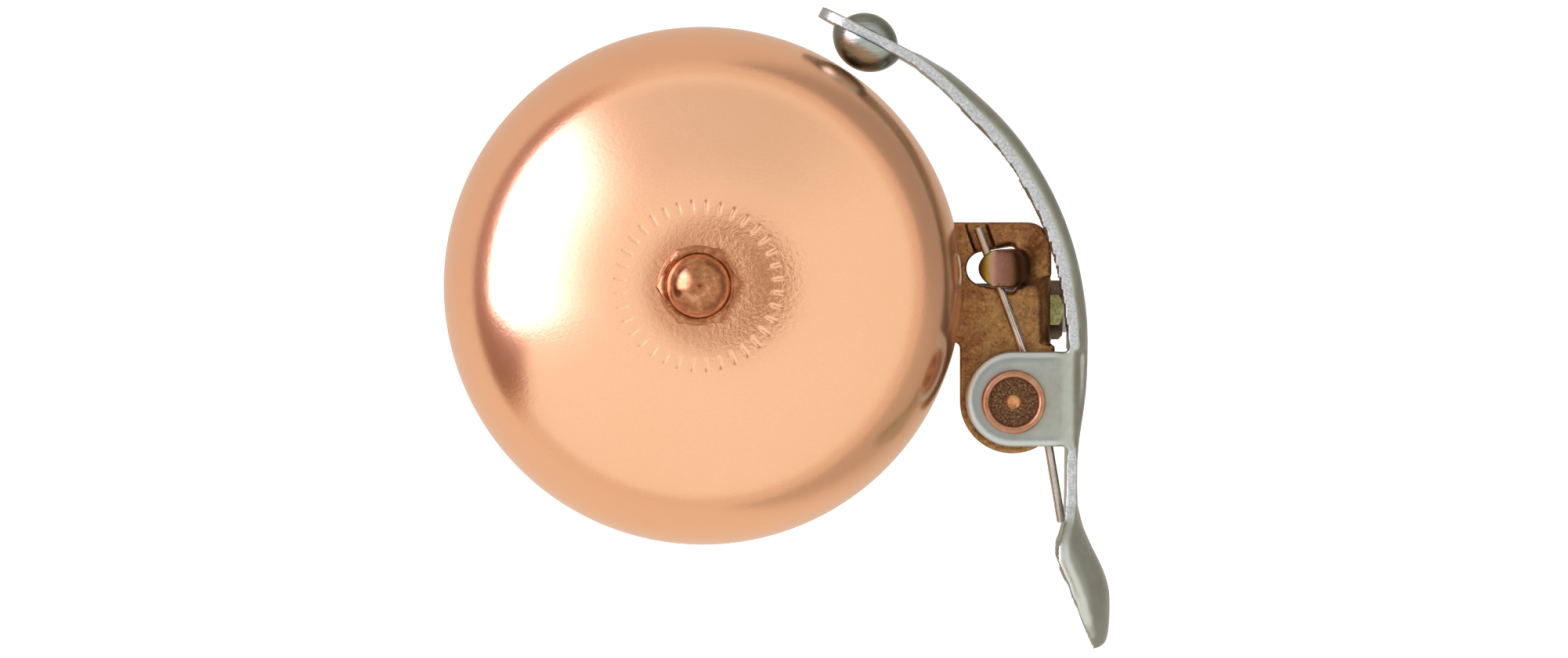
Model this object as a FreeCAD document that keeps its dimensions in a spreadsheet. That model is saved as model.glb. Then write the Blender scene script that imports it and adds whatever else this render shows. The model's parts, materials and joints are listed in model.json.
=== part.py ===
import FreeCAD, Part
import Sketcher
import math
import os

# Bicycle bell: a sheet-metal dome on a post, a flick lever with a striker ball,
# and a band clamp for the handlebar. Millimetres.
# Frame: origin at the centre of the handlebar clamp, the bar runs along Y,
# +Z is the axis of the dome, +X points away from the dome to the lever.
# "Right" is +X, "left" is -X, and levels are heights in Z.

os.makedirs("parts", exist_ok=True)
V = FreeCAD.Vector
Rotation = FreeCAD.Rotation
Placement = FreeCAD.Placement
doc = FreeCAD.newDocument("bicycle_bell")

# --------------------------------------------------------------- dimensions
# Numbers drive the model; texts are formulas worked out in the sheet.
DIMENSIONS = [
    # handlebar clamp
    ("bar_radius", 11.1), ("liner_thick", 0.8), ("liner_width", 5.7),
    ("strap_thick", 1.0), ("strap_width", 5.0), ("strap_ear_top", 15.6),
    ("right_ear_mid", 8.3), ("left_ear_mid", -10.9), ("strap_bend", 1.5),
    ("screw_level", 13.4), ("screw_radius", 1.5), ("screw_hole_radius", 1.65),
    ("screw_hole_length", 40.0), ("head_radius", 2.7), ("head_height", 2.0),
    ("recess_depth", 1.2), ("screw_end", 11.45),
    ("flat_washer_radius", 2.75), ("flat_washer_thick", 0.5),
    ("lock_washer_radius", 2.6), ("lock_washer_thick", 0.8), ("washer_bore", 1.57),
    ("lock_washer_x",
     "=left_ear_mid - strap_thick / 2 - flat_washer_thick - lock_washer_thick"),
    ("flat_washer_x", "=lock_washer_x + lock_washer_thick"),
    ("nut_flats", 5.5), ("nut_thick", 1.8), ("nut_bore", 1.53), ("nut_seat_deep", 0.55),
    ("nut_seat_clear", 0.1),
    # bracket plate
    ("plate_low", 16.2), ("plate_thick", 1.5), ("plate_top", "=plate_low + plate_thick"),
    ("tab_width", 7.0), ("tab_thick", 1.4), ("tab_bottom", 10.3),
    ("right_tab_inner", 8.8), ("left_tab_inner", -7.8), ("tab_bend", 0.5),
    ("nut_seat_x", "=right_tab_inner + tab_thick - nut_seat_deep"),
    ("window_end", -1.6), ("lobe_radius", 5.6),
    ("groove_radius", 1.1), ("groove_depth", 0.75), ("groove_height", 3.0),
    # dome and its post
    ("dome_x", -27.0), ("dome_y", 2.6), ("rim_level", 18.9), ("dome_radius", 27.5),
    ("dome_sheet", 1.0), ("crown_radius", 34.0), ("knuckle_radius", 15.0),
    ("flat_radius", 5.0), ("skirt_height", 3.5), ("dome_hole", 2.15),
    ("seat_washer_radius", 4.6), ("seat_washer_thick", 1.0),
    ("cap_washer_radius", 4.3), ("cap_washer_thick", 0.6),
    ("crown_run", "=dome_radius - knuckle_radius - flat_radius"),
    ("crown_rise", "=sqrt((crown_radius - knuckle_radius)^2 - crown_run^2)"),
    ("crown_level", "=rim_level + skirt_height - crown_rise + crown_radius"),
    ("seat_level", "=crown_level - dome_sheet - seat_washer_thick"),
    ("cap_nut_level", "=crown_level + cap_washer_thick"),
    ("cap_nut_flats", 7.55), ("cap_hex_height", 3.6), ("cap_ball_radius", 3.25),
    ("cap_neck_height", 0.9), ("cap_bore", 2.04), ("cap_bore_deep", 5.2),
    ("stud_radius", 2.0), ("stud_length", 6.2), ("post_radius", 3.5),
    ("tenon_radius", 2.5), ("foot_radius", 3.7), ("foot_height", 1.0),
    ("base_washer_radius", 5.6), ("base_washer_thick", 0.8), ("base_washer_clear", 0.05),
    # lever: strip and ears
    ("strip_thick", 1.2), ("top_ear_level", 22.0), ("bottom_ear_level", 13.0),
    ("top_ear_radius", 5.06), ("bottom_ear_radius", 4.4), ("ear_bend_outer", 2.0),
    ("ear_y_max", -4.4), ("ear_y_min", -14.5), ("web_face", 11.85),
    # lever pivot
    ("pivot_x", 6.0), ("pivot_y", -9.75), ("rivet_radius", 1.9), ("rivet_hole", 1.95),
    ("rivet_head_radius", 3.4), ("rivet_cup_radius", 2.58), ("rivet_head_height", 1.05),
    ("rivet_floor", 0.3), ("rivet_bump_radius", 0.9), ("tail_radius", 2.9),
    ("tail_height", 0.7), ("bush_radius", 2.45), ("bush_clear", 0.02),
    ("spacer_radius", 3.2), ("pivot_washer_radius", 3.25), ("pivot_washer_thick", 0.3),
    ("pivot_washer_clear", 0.03), ("pivot_play", 0.04),
    ("top_washer_level", "=top_ear_level + pivot_play"),
    ("bottom_washer_level", "=bottom_ear_level - pivot_play - pivot_washer_thick"),
    ("spacer_level", "=bottom_ear_level + strip_thick + pivot_play"),
    ("spacer_height", "=plate_low - spacer_level"),
    ("bush_height", "=top_ear_level - strip_thick - pivot_play - plate_top"),
    ("rivet_grip", "=top_washer_level + pivot_washer_thick - bottom_washer_level"),
    # striker
    ("ball_x", -9.2), ("ball_y", 29.3), ("ball_level", 21.6), ("ball_radius", 4.0),
    ("strip_angle", -27.1), ("tip_radius", 3.2),
    ("striker_shank", 1.5), ("striker_shank_deep", 2.4),
    ("striker_head_radius", 3.12), ("striker_head_height", 1.8),
    # spring: the start leg reaches to +Y, the end leg to -Y
    ("wire_radius", 0.47), ("coil_radius", 2.96), ("coil_pitch", 0.98), ("coil_turns", 2.0),
    ("start_leg_x", 2.3), ("start_leg_y", 8.8), ("end_leg_x", 11.22), ("end_leg_y", -22.6),
    ("coil_start", 18.22), ("end_leg_level", 18.2),
    # lug over the spring wire
    ("lug_x", 4.3), ("lug_y", 4.45), ("lug_inner", 2.5), ("lug_outer", 3.8),
    ("lug_level", 16.75), ("lug_block", 8.0),
]

# Lever strip, section by section from the striker to the thumb pad: x and y of the
# inner face's edges, direction of the strip in degrees from +X, bulge of both faces
# at mid height, and the levels of the top and bottom edges.
STATION_COLUMNS = ("x", "y", "turn", "bulge", "top", "low")
STATIONS = [
    (-11.943, 29.757, -27.10, 0.004, 24.80, 18.40),
    (-9.536, 28.525, -27.10, 0.004, 24.80, 18.40),
    (-7.043, 27.250, -27.10, 0.004, 24.75, 18.40),
    (-5.797, 26.600, -28.80, 0.03, 24.68, 18.38),
    (-4.600, 25.880, -34.00, 0.30, 24.55, 18.33),
    (-3.090, 24.660, -39.00, 0.62, 24.35, 18.25),
    (-2.082, 23.764, -41.50, 0.90, 24.20, 18.20),
    (0.412, 21.285, -45.20, 1.22, 23.95, 18.15),
    (2.824, 18.800, -48.50, 1.36, 23.80, 18.10),
    (4.907, 16.314, -53.23, 1.38, 23.60, 18.05),
    (6.574, 13.825, -58.33, 1.37, 23.45, 18.00),
    (8.034, 11.251, -63.06, 1.34, 23.30, 17.98),
    (9.203, 8.676, -68.28, 1.31, 23.10, 17.96),
    (10.169, 5.850, -73.60, 1.30, 22.80, 17.94),
    (10.874, 3.022, -77.96, 1.28, 22.45, 17.20),
    (11.304, 0.692, -81.08, 1.24, 22.20, 16.55),
    (11.598, -1.556, -84.01, 1.18, 22.05, 16.40),
    (11.766, -3.637, -86.60, 1.09, 22.00, 14.60),
    (11.850, -5.968, -88.74, 1.00, 22.00, 13.00),
    (11.866, -8.632, -90.36, 0.83, 22.00, 13.00),
    (11.808, -11.545, -91.60, 0.50, 22.00, 13.00),
    (11.683, -14.126, -92.00, 0.22, 22.00, 13.00),
    (11.623, -16.143, -91.06, 0.10, 21.30, 14.30),
    (11.614, -18.815, -91.31, 0.08, 21.10, 14.50),
    (11.543, -20.729, -93.00, 0.24, 21.20, 14.40),
    (11.315, -22.291, -90.00, 0.82, 21.80, 13.90),
    (10.818, -23.660, -84.25, 1.66, 23.00, 13.10),
    (10.415, -24.954, -80.25, 2.52, 23.90, 12.40),
    (10.361, -26.348, -76.06, 3.10, 24.30, 12.10),
    (10.814, -27.754, -71.51, 3.29, 24.40, 12.00),
    (11.586, -29.496, -68.08, 3.30, 24.40, 12.00),
    (12.480, -31.746, -68.00, 3.02, 24.20, 12.20),
    (13.244, -33.691, -67.43, 2.22, 23.50, 12.90),
    (13.883, -35.164, -64.58, 1.47, 22.40, 14.00),
    (14.384, -36.158, -63.21, 0.64, 21.00, 15.40),
]


def station_alias(column, number):
    return "lever_%s_%02d" % (column, number)


def fill_sheet():
    entries = list(DIMENSIONS)
    for number, station in enumerate(STATIONS):
        for column, value in zip(STATION_COLUMNS, station):
            entries.append((station_alias(column, number), value))
    sheet = doc.addObject("Spreadsheet::Sheet", "dims")
    for row, (alias, value) in enumerate(entries, 1):
        sheet.set("A%d" % row, alias.replace("_", " "))
        sheet.set("B%d" % row, value if isinstance(value, str) else "%g" % value)
        sheet.setAlias("B%d" % row, alias)
    doc.recompute()
    return sheet


dims = fill_sheet()

# Expressions and values that several pieces share.
DOME_AXIS = ("dims.dome_x", "dims.dome_y")
PIVOT_AXIS = ("dims.pivot_x", "dims.pivot_y")
THROUGH_PLATE = "4 * dims.plate_thick"
BELOW_PLATE = "dims.plate_low - dims.plate_thick"
CCW, CW = True, False
ROOT_3 = 1.7320508

parts = []


# ------------------------------------------------------------ small builders
def keep(obj, label):
    obj.Label = label
    parts.append(obj)


def keep_shape(shape, label):
    obj = doc.addObject("Part::Feature", label + "_shape")
    obj.Shape = shape
    keep(obj, label)


def bind(obj, **expressions):
    for name, expression in expressions.items():
        obj.setExpression(name, expression)


def place(obj, x=None, y=None, z=None):
    for axis, expression in (("x", x), ("y", y), ("z", z)):
        if expression:
            obj.setExpression("Placement.Base." + axis, expression)


def polar(radius, angle):
    return (radius * math.cos(angle), radius * math.sin(angle))


def cylinder(name, radius, height, x=None, y=None, z=None, along="Z"):
    obj = doc.addObject("Part::Cylinder", name)
    bind(obj, Radius=radius, Height=height)
    if along == "X":
        obj.Placement = Placement(V(0, 0, 0), Rotation(V(0, 1, 0), 90))
    place(obj, x, y, z)
    return obj


def hexagon(name, circumradius):
    obj = doc.addObject("Part::Prism", name)
    obj.Polygon = 6
    bind(obj, Circumradius=circumradius)
    return obj


def combine(kind, name, base, tool):
    """Part::Cut or Part::Common of two objects."""
    obj = doc.addObject("Part::" + kind, name)
    obj.Base = base
    obj.Tool = tool
    return obj


def fuse(name, shapes):
    obj = doc.addObject("Part::MultiFuse", name)
    obj.Shapes = shapes
    return obj


def ring(label, outer, bore, height, x, y, z, along="Z"):
    disc = cylinder(label + "_disc", outer, height, x, y, z, along)
    hole = cylinder(label + "_bore", bore, height, x, y, z, along)
    keep(combine("Cut", label + "_ring", disc, hole), label)


def outline(sketch, start, *steps):
    """Draw a closed outline. A step is a point (x, y) for a line to it, or
    (centre, end, CCW or CW) for an arc. A last line closes the outline if needed."""
    steps = list(steps)
    last = steps[-1][1] if len(steps[-1]) == 3 else steps[-1]
    if last != start:
        steps.append(start)
    edges = []      # geometry index, its start point, its end point
    here = start
    for step in steps:
        if len(step) == 2:
            end = step
            line = Part.LineSegment(V(here[0], here[1], 0), V(end[0], end[1], 0))
            edges.append((sketch.addGeometry(line, False), 1, 2))
        else:
            (x, y), end, ccw = step
            circle = Part.Circle(V(x, y, 0), V(0, 0, 1), math.hypot(here[0] - x, here[1] - y))
            angle_a = math.atan2(here[1] - y, here[0] - x)
            angle_b = math.atan2(end[1] - y, end[0] - x)
            if ccw:
                arc = Part.ArcOfCircle(circle, angle_a, angle_b)
                edges.append((sketch.addGeometry(arc, False), 1, 2))
            else:
                arc = Part.ArcOfCircle(circle, angle_b, angle_a)
                edges.append((sketch.addGeometry(arc, False), 2, 1))
        here = end
    for edge, following in zip(edges, edges[1:] + edges[:1]):
        sketch.addConstraint(Sketcher.Constraint(
            "Coincident", edge[0], edge[2], following[0], following[1]))
    return edges


def bind_radius(sketch, geometry, alias):
    index = sketch.addConstraint(Sketcher.Constraint(
        "Radius", geometry, sketch.Geometry[geometry].Radius))
    sketch.setExpression("Constraints[%d]" % index, "dims." + alias)


def bind_distance(sketch, geometry, point, alias):
    """Bind the distance of a point from the vertical axis."""
    index = sketch.addConstraint(Sketcher.Constraint(
        "DistanceX", -1, 1, geometry, point, float(getattr(dims, alias))))
    sketch.setExpression("Constraints[%d]" % index, "dims." + alias)


def extrude(name, steps, length, across=False, y=None, z=None):
    """Extrude an XY outline upward, or an XZ outline to both sides along Y."""
    sketch = doc.addObject("Sketcher::SketchObject", name + "_outline")
    if across:
        sketch.Placement = Placement(V(0, 0, 0), Rotation(V(1, 0, 0), 90))
    outline(sketch, *steps)
    obj = doc.addObject("Part::Extrusion", name)
    obj.Base = sketch
    obj.DirMode = "Normal"
    obj.Solid = True
    obj.Symmetric = across
    bind(obj, LengthFwd=length)
    place(obj, None, y, z)
    return obj


def body_sketch(body, name, role):
    plane = next(f for f in body.Origin.OriginFeatures if f.Role == role)
    sketch = body.newObject("Sketcher::SketchObject", name)
    sketch.AttachmentSupport = [(plane, "")]
    sketch.MapMode = "FlatFace"
    return sketch


def turn(body, kind, name, sketch):
    """Full Revolution or Groove of a sketch about its vertical axis."""
    doc.recompute()
    feature = body.newObject("PartDesign::" + kind, name)
    feature.Profile = sketch
    feature.ReferenceAxis = (sketch, ["V_Axis"])
    feature.Angle = 360.0
    doc.recompute()


def pocket_upward(body, name, sketch, depth):
    doc.recompute()
    before = body.Shape.Volume
    pocket = body.newObject("PartDesign::Pocket", name)
    pocket.Profile = sketch
    pocket.Reversed = True
    bind(pocket, Length=depth)
    doc.recompute()
    # guards against the pocket running away from the body
    if not body.Shape.Volume < before - 1:
        pocket.Reversed = False
        doc.recompute()


def turned_body(label, steps, distances=(), radii=()):
    """A piece turned about Z from an XZ profile. distances binds the start points
    of numbered steps, radii binds numbered arcs."""
    body = doc.addObject("PartDesign::Body", label + "_body")
    sketch = body_sketch(body, label + "_profile", "XZ_Plane")
    edges = outline(sketch, *steps)
    for number, alias in distances:
        bind_distance(sketch, edges[number][0], edges[number][1], alias)
    for number, alias in radii:
        bind_radius(sketch, edges[number][0], alias)
    turn(body, "Revolution", label + "_turned", sketch)
    return body


# ------------------------------------------------------------ dome and post
def build_dome():
    radius, sheet = dims.dome_radius, dims.dome_sheet
    crown, knuckle, flat = dims.crown_radius, dims.knuckle_radius, dims.flat_radius
    skirt, hole = dims.skirt_height, dims.dome_hole
    crown_z = skirt - dims.crown_rise
    top = crown_z + crown
    knuckle_centre = (radius - knuckle, skirt)
    crown_centre = (flat, crown_z)

    def blend(reach):
        """Where the crown arc of this radius meets the knuckle arc."""
        scale = reach / (crown - knuckle)
        return (flat + dims.crown_run * scale, crown_z + dims.crown_rise * scale)

    body = turned_body(
        "bell_dome",
        [(radius, 0), (radius, skirt),
         (knuckle_centre, blend(crown), CCW), (crown_centre, (flat, top), CCW),
         (hole, top), (hole, top - sheet), (flat, top - sheet),
         (crown_centre, blend(crown - sheet), CW),
         (knuckle_centre, (radius - sheet, skirt), CW), (radius - sheet, 0)],
        distances=[(0, "dome_radius")],
        radii=[(1, "knuckle_radius"), (2, "crown_radius")])
    place(body, *DOME_AXIS, "dims.rim_level")
    keep(body, "bell_dome")


def build_cap_nut():
    height, ball = dims.cap_hex_height, dims.cap_ball_radius
    neck_top = height + dims.cap_neck_height
    corner = dims.cap_nut_flats / math.sqrt(3.0)
    turn_angle = 1          # degrees
    body = doc.addObject("PartDesign::Body", "cap_nut_body")

    sketch = body_sketch(body, "cap_nut_hexagon", "XY_Plane")
    outline(sketch, *[polar(corner, math.radians(60 * i + turn_angle)) for i in range(6)])
    doc.recompute()
    pad = body.newObject("PartDesign::Pad", "cap_nut_prism")
    pad.Profile = sketch
    bind(pad, Length="dims.cap_hex_height")

    # corner chamfers: the ring outside a cone is turned away at both ends
    sketch = body_sketch(body, "cap_nut_corner_profile", "XZ_Plane")
    outside = corner + 1.0
    for inset, level, slope, beyond in ((0.75, height, -1.01, 0.5), (0.35, 0, 0.78, -0.5)):
        outline(sketch, (corner - inset, level), (outside, level + slope),
                (outside, level + beyond), (corner - inset, level + beyond))
    turn(body, "Groove", "cap_nut_corners", sketch)

    # ball end on a neck with a small collar
    sunk, collar = 0.6, 0.12
    sketch = body_sketch(body, "cap_nut_dome_profile", "XZ_Plane")
    outline(sketch, (0, height - sunk), (ball + collar, height - sunk),
            (ball + collar, height + 0.05), (ball, height + 0.25), (ball, neck_top),
            ((0, neck_top), (0, neck_top + ball), CCW))
    turn(body, "Revolution", "cap_nut_dome", sketch)

    sketch = body_sketch(body, "cap_nut_bore_circle", "XY_Plane")
    circle = sketch.addGeometry(Part.Circle(V(0, 0, 0), V(0, 0, 1), dims.cap_bore), False)
    sketch.addConstraint(Sketcher.Constraint("Coincident", circle, 3, -1, 1))
    bind_radius(sketch, circle, "cap_bore")
    pocket_upward(body, "cap_nut_bore", sketch, "dims.cap_bore_deep")
    place(body, *DOME_AXIS, "dims.cap_nut_level")
    keep(body, "cap_nut")


def build_post():
    post, tenon, stud, foot = (
        dims.post_radius, dims.tenon_radius, dims.stud_radius, dims.foot_radius)
    bottom = -dims.foot_height
    plate = dims.plate_thick
    washer_top = plate + dims.base_washer_thick
    shoulder = dims.seat_level - dims.plate_low
    end = shoulder + dims.stud_length
    foot_round, low_chamfer, shoulder_chamfer, stud_chamfer = 0.9, 0.3, 0.5, 0.4
    body = turned_body(
        "dome_post",
        [(0, bottom), (foot - foot_round, bottom),
         ((foot - foot_round, bottom + foot_round), (foot, bottom + foot_round), CCW),
         (foot, 0), (tenon, 0), (tenon, plate), (tenon, washer_top),
         (post - low_chamfer, washer_top), (post, washer_top + low_chamfer),
         (post, shoulder - shoulder_chamfer), (post - shoulder_chamfer, shoulder),
         (stud, shoulder), (stud, end - stud_chamfer), (stud - stud_chamfer, end), (0, end)],
        distances=[(9, "post_radius"), (5, "tenon_radius")])
    place(body, *DOME_AXIS, "dims.plate_low")
    keep(body, "dome_post")


# ------------------------------------------------------------------ bracket
def nut_placement():
    """Hexagon laid along X on the screw axis, against the floor of the nut seat."""
    return Placement(V(dims.nut_seat_x, 0, dims.screw_level),
                     Rotation(V(0, 1, 0), 90).multiply(Rotation(V(0, 0, 1), 90)))


def screw_hole(name):
    return cylinder(name, "dims.screw_hole_radius", "dims.screw_hole_length",
                    "-dims.screw_hole_length / 2", None, "dims.screw_level", "X")


def plate_solid():
    dome_x, dome_y = dims.dome_x, dims.dome_y
    pivot_x, pivot_y, lobe = dims.pivot_x, dims.pivot_y, dims.lobe_radius
    half_tab = dims.tab_width / 2
    tab_edge = dims.right_tab_inner - dims.tab_bend     # the right tab bends down here
    end_radius = 8.2                # round end under the dome
    step_x = -2.4                   # the plate is wider left of here
    step_round, step_fillet, lobe_fillet = 1.0, 0.4, 0.55
    wide_y, narrow_y = -6.6, -3.5   # -Y edge left and right of the step
    upper_y = dome_y + 6.8          # +Y edge
    corner = 2.6
    right_upper, right_lower = 10.2, 10.55      # right ends on the two sides of the tab
    lobe_left = pivot_x - lobe
    lobe_y = pivot_y + math.sqrt(lobe ** 2 - (right_lower - pivot_x) ** 2)
    return extrude("bracket_plate", [
        (dome_x, dome_y + end_radius),
        ((dome_x, dome_y), (dome_x, dome_y - end_radius), CCW),
        (step_x - step_round, wide_y),
        ((step_x - step_round, wide_y + step_round), (step_x, wide_y + step_round), CCW),
        (step_x, narrow_y - step_fillet),
        ((step_x + step_fillet, narrow_y - step_fillet), (step_x + step_fillet, narrow_y), CW),
        (lobe_left - lobe_fillet, narrow_y),
        ((lobe_left - lobe_fillet, narrow_y - lobe_fillet),
         (lobe_left, narrow_y - lobe_fillet), CW),
        (lobe_left, pivot_y), ((pivot_x, pivot_y), (right_lower, lobe_y), CCW),
        (right_lower, -half_tab - 0.25), (tab_edge, -half_tab - 0.25),
        (tab_edge, half_tab + 0.1), (right_upper, half_tab + 0.1),
        (right_upper, upper_y - corner),
        ((right_upper - corner, upper_y - corner), (right_upper - corner, upper_y), CCW),
        (step_x + step_fillet, upper_y),
        ((step_x + step_fillet, upper_y + step_fillet), (step_x, upper_y + step_fillet), CW),
        ((step_x - step_round, upper_y + step_fillet),
         (step_x - step_round, upper_y + step_fillet + step_round), CCW),
    ], "dims.plate_thick", z="dims.plate_low")


def tab_solid(name, left_face, root_x):
    """Tab bent down from the plate, from its root in the plate to its lower end."""
    low, top, bottom = dims.plate_low, dims.plate_top, dims.tab_bottom
    inner = dims.tab_bend
    outer = inner + dims.tab_thick
    right_face = left_face + dims.tab_thick
    return extrude(name, [
        (root_x, top), (root_x, low), (left_face - inner, low),
        ((left_face - inner, low - inner), (left_face, low - inner), CW),
        (left_face, bottom), (right_face, bottom), (right_face, top - outer),
        ((right_face - outer, top - outer), (right_face - outer, top), CCW),
    ], "dims.tab_width", across=True)


def window_cutter():
    """Window in the plate that the left tab came from."""
    left = dims.left_tab_inner - dims.tab_bend - dims.tab_thick
    right = dims.window_end
    half = dims.tab_width / 2 + 0.15
    corner = 0.8
    return extrude("window_cut", [
        (left, -half), (right - corner, -half),
        ((right - corner, -half + corner), (right, -half + corner), CCW),
        (right, half - corner),
        ((right - corner, half - corner), (right - corner, half), CCW), (left, half),
    ], THROUGH_PLATE, z=BELOW_PLATE)


def tongue(tip_x, radius, root_x, half):
    """Plan with a round left tip, flared to its root on the right."""
    y = dims.lug_y
    angle = math.atan2(half - radius, root_x - tip_x)
    back, side = radius * math.sin(angle), radius * math.cos(angle)
    return [(root_x, y + half), (tip_x - back, y + side),
            ((tip_x, y), (tip_x - back, y - side), CCW), (root_x, y - half)]


def lug_solid():
    """Arch over the spring wire, trimmed to a tapered tongue in plan."""
    x, level, inner, outer = dims.lug_x, dims.lug_level, dims.lug_inner, dims.lug_outer
    foot = dims.plate_low + 0.05
    inner_foot = (x + math.sqrt(inner ** 2 - (foot - level) ** 2), foot)
    outer_foot = (x + math.sqrt(outer ** 2 - (foot - level) ** 2), foot)
    end_angle = math.radians(152)
    end_x, end_z = math.cos(end_angle), math.sin(end_angle)
    arch = extrude("lug_arch", [
        inner_foot, outer_foot,
        ((x, level), (x + outer * end_x, level + outer * end_z), CCW),
        (x + inner * end_x, level + inner * end_z), ((x, level), inner_foot, CW),
    ], "dims.lug_block", across=True, y="dims.lug_y")
    plan = extrude("lug_plan", tongue(tip_x=3.95, radius=1.6, root_x=9.2, half=2.5),
                   "dims.lug_block", z="dims.plate_low")
    return combine("Common", "lug_trimmed", arch, plan)


def groove_cutters():
    """Groove with one round end, for the start of the spring wire."""
    rotation = Rotation(V(0, 0, 1), math.degrees(math.atan2(6.3, -2.2)) - 90)
    origin = V(dims.start_leg_x + 0.16, dims.start_leg_y - 0.6,
               dims.plate_top - dims.groove_depth)
    behind, ahead = 2.6, 0.9        # lengths on either side of the origin
    slot = doc.addObject("Part::Box", "wire_groove")
    bind(slot, Length="2 * dims.groove_radius", Height="dims.groove_height")
    slot.Width = behind + ahead
    corner = origin + rotation.multVec(V(-dims.groove_radius, -behind, 0))
    slot.Placement = Placement(corner, rotation)
    end = cylinder("wire_groove_end", "dims.groove_radius", "dims.groove_height")
    end.Placement = Placement(origin + rotation.multVec(V(0, ahead, 0)), Rotation())
    return [slot, end]


def build_bracket():
    plate = plate_solid()
    right_face = dims.right_tab_inner
    left_face = dims.left_tab_inner - dims.tab_thick
    right_tab = tab_solid("right_tab", right_face, right_face - dims.tab_bend - 0.6)
    left_tab = tab_solid("left_tab", left_face, left_face - 1.2)
    window = window_cutter()
    lug_hole = extrude("lug_hole", tongue(tip_x=2.88, radius=1.78, root_x=6.4, half=2.42),
                       THROUGH_PLATE, z=BELOW_PLATE)
    lug = lug_solid()
    post_hole = cylinder("post_hole", "dims.tenon_radius", THROUGH_PLATE,
                         *DOME_AXIS, BELOW_PLATE)
    pivot_hole = cylinder("pivot_hole", "dims.rivet_radius", THROUGH_PLATE,
                          *PIVOT_AXIS, BELOW_PLATE)
    nut_seat = hexagon("nut_seat", "(dims.nut_flats + dims.nut_seat_clear) / %s" % ROOT_3)
    nut_seat.Height = 3
    nut_seat.Placement = nut_placement()
    # the plate loses the window and the holes first, then takes the tabs and the lug
    plate_cuts = fuse("bracket_plate_cuts",
                      [window, lug_hole, post_hole, pivot_hole] + groove_cutters())
    holed = combine("Cut", "bracket_holed", plate, plate_cuts)
    joined = fuse("bracket_joined", [holed, right_tab, left_tab, lug])
    tab_cuts = fuse("bracket_tab_cuts", [screw_hole("bracket_screw_hole"), nut_seat])
    keep(combine("Cut", "bracket_done", joined, tab_cuts), "bracket")


# --------------------------------------------------------------- band clamp
LINER_OUTER = dims.bar_radius + dims.liner_thick


def ear_bend(x):
    """Centre of an ear's bend at this x, and its polar angle about the bar."""
    reach = LINER_OUTER + dims.strap_thick / 2 + dims.strap_bend
    z = math.sqrt(reach ** 2 - x ** 2)
    return (x, z), math.atan2(z, x)


RIGHT_BEND, RIGHT_ANGLE = ear_bend(dims.right_ear_mid + dims.strap_bend)
LEFT_BEND, LEFT_ANGLE = ear_bend(dims.left_ear_mid - dims.strap_bend)


def build_strap():
    half = dims.strap_thick / 2
    inner, outer = LINER_OUTER, LINER_OUTER + dims.strap_thick
    right, left, top = dims.right_ear_mid, dims.left_ear_mid, dims.strap_ear_top
    right_z, left_z = RIGHT_BEND[1], LEFT_BEND[1]
    band = extrude("strap_band", [
        (right - half, top), (right - half, right_z),
        (RIGHT_BEND, polar(inner, RIGHT_ANGLE), CCW),
        ((0, 0), polar(inner, LEFT_ANGLE), CW),
        (LEFT_BEND, (left + half, left_z), CCW),
        (left + half, top), (left - half, top), (left - half, left_z),
        (LEFT_BEND, polar(outer, LEFT_ANGLE), CW),
        ((0, 0), polar(outer, RIGHT_ANGLE), CCW),
        (RIGHT_BEND, (right + half, right_z), CW), (right + half, top),
    ], "dims.strap_width", across=True)
    keep(combine("Cut", "strap_done", band, screw_hole("strap_hole")), "clamp_strap")


def build_liner():
    bar = dims.bar_radius
    right = RIGHT_ANGLE - math.radians(4)
    left = LEFT_ANGLE + math.radians(3)
    keep(extrude("liner_band", [
        polar(LINER_OUTER, right), polar(bar, right), ((0, 0), polar(bar, left), CW),
        polar(LINER_OUTER, left), ((0, 0), polar(LINER_OUTER, right), CCW),
    ], "dims.liner_width", across=True), "clamp_liner")


def build_spring_washer():
    """Washer split by a slanting gap."""
    where = ("dims.lock_washer_x", None, "dims.screw_level", "X")
    disc = cylinder("lock_washer_disc", "dims.lock_washer_radius", "dims.lock_washer_thick",
                    *where)
    bore = cylinder("lock_washer_bore", "dims.washer_bore", "dims.lock_washer_thick", *where)
    gap = doc.addObject("Part::Box", "lock_washer_gap")
    gap.Length, gap.Width, gap.Height = 3.0, 0.5, 4.0
    ear_face = dims.left_ear_mid - dims.strap_thick / 2
    gap.Placement = Placement(V(ear_face - 3.0, 0.2, dims.screw_level + 0.5),
                              Rotation(V(1, 0, 0), 14))
    tools = fuse("lock_washer_tools", [bore, gap])
    keep(combine("Cut", "lock_washer_done", disc, tools), "screw_spring_washer")


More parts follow.
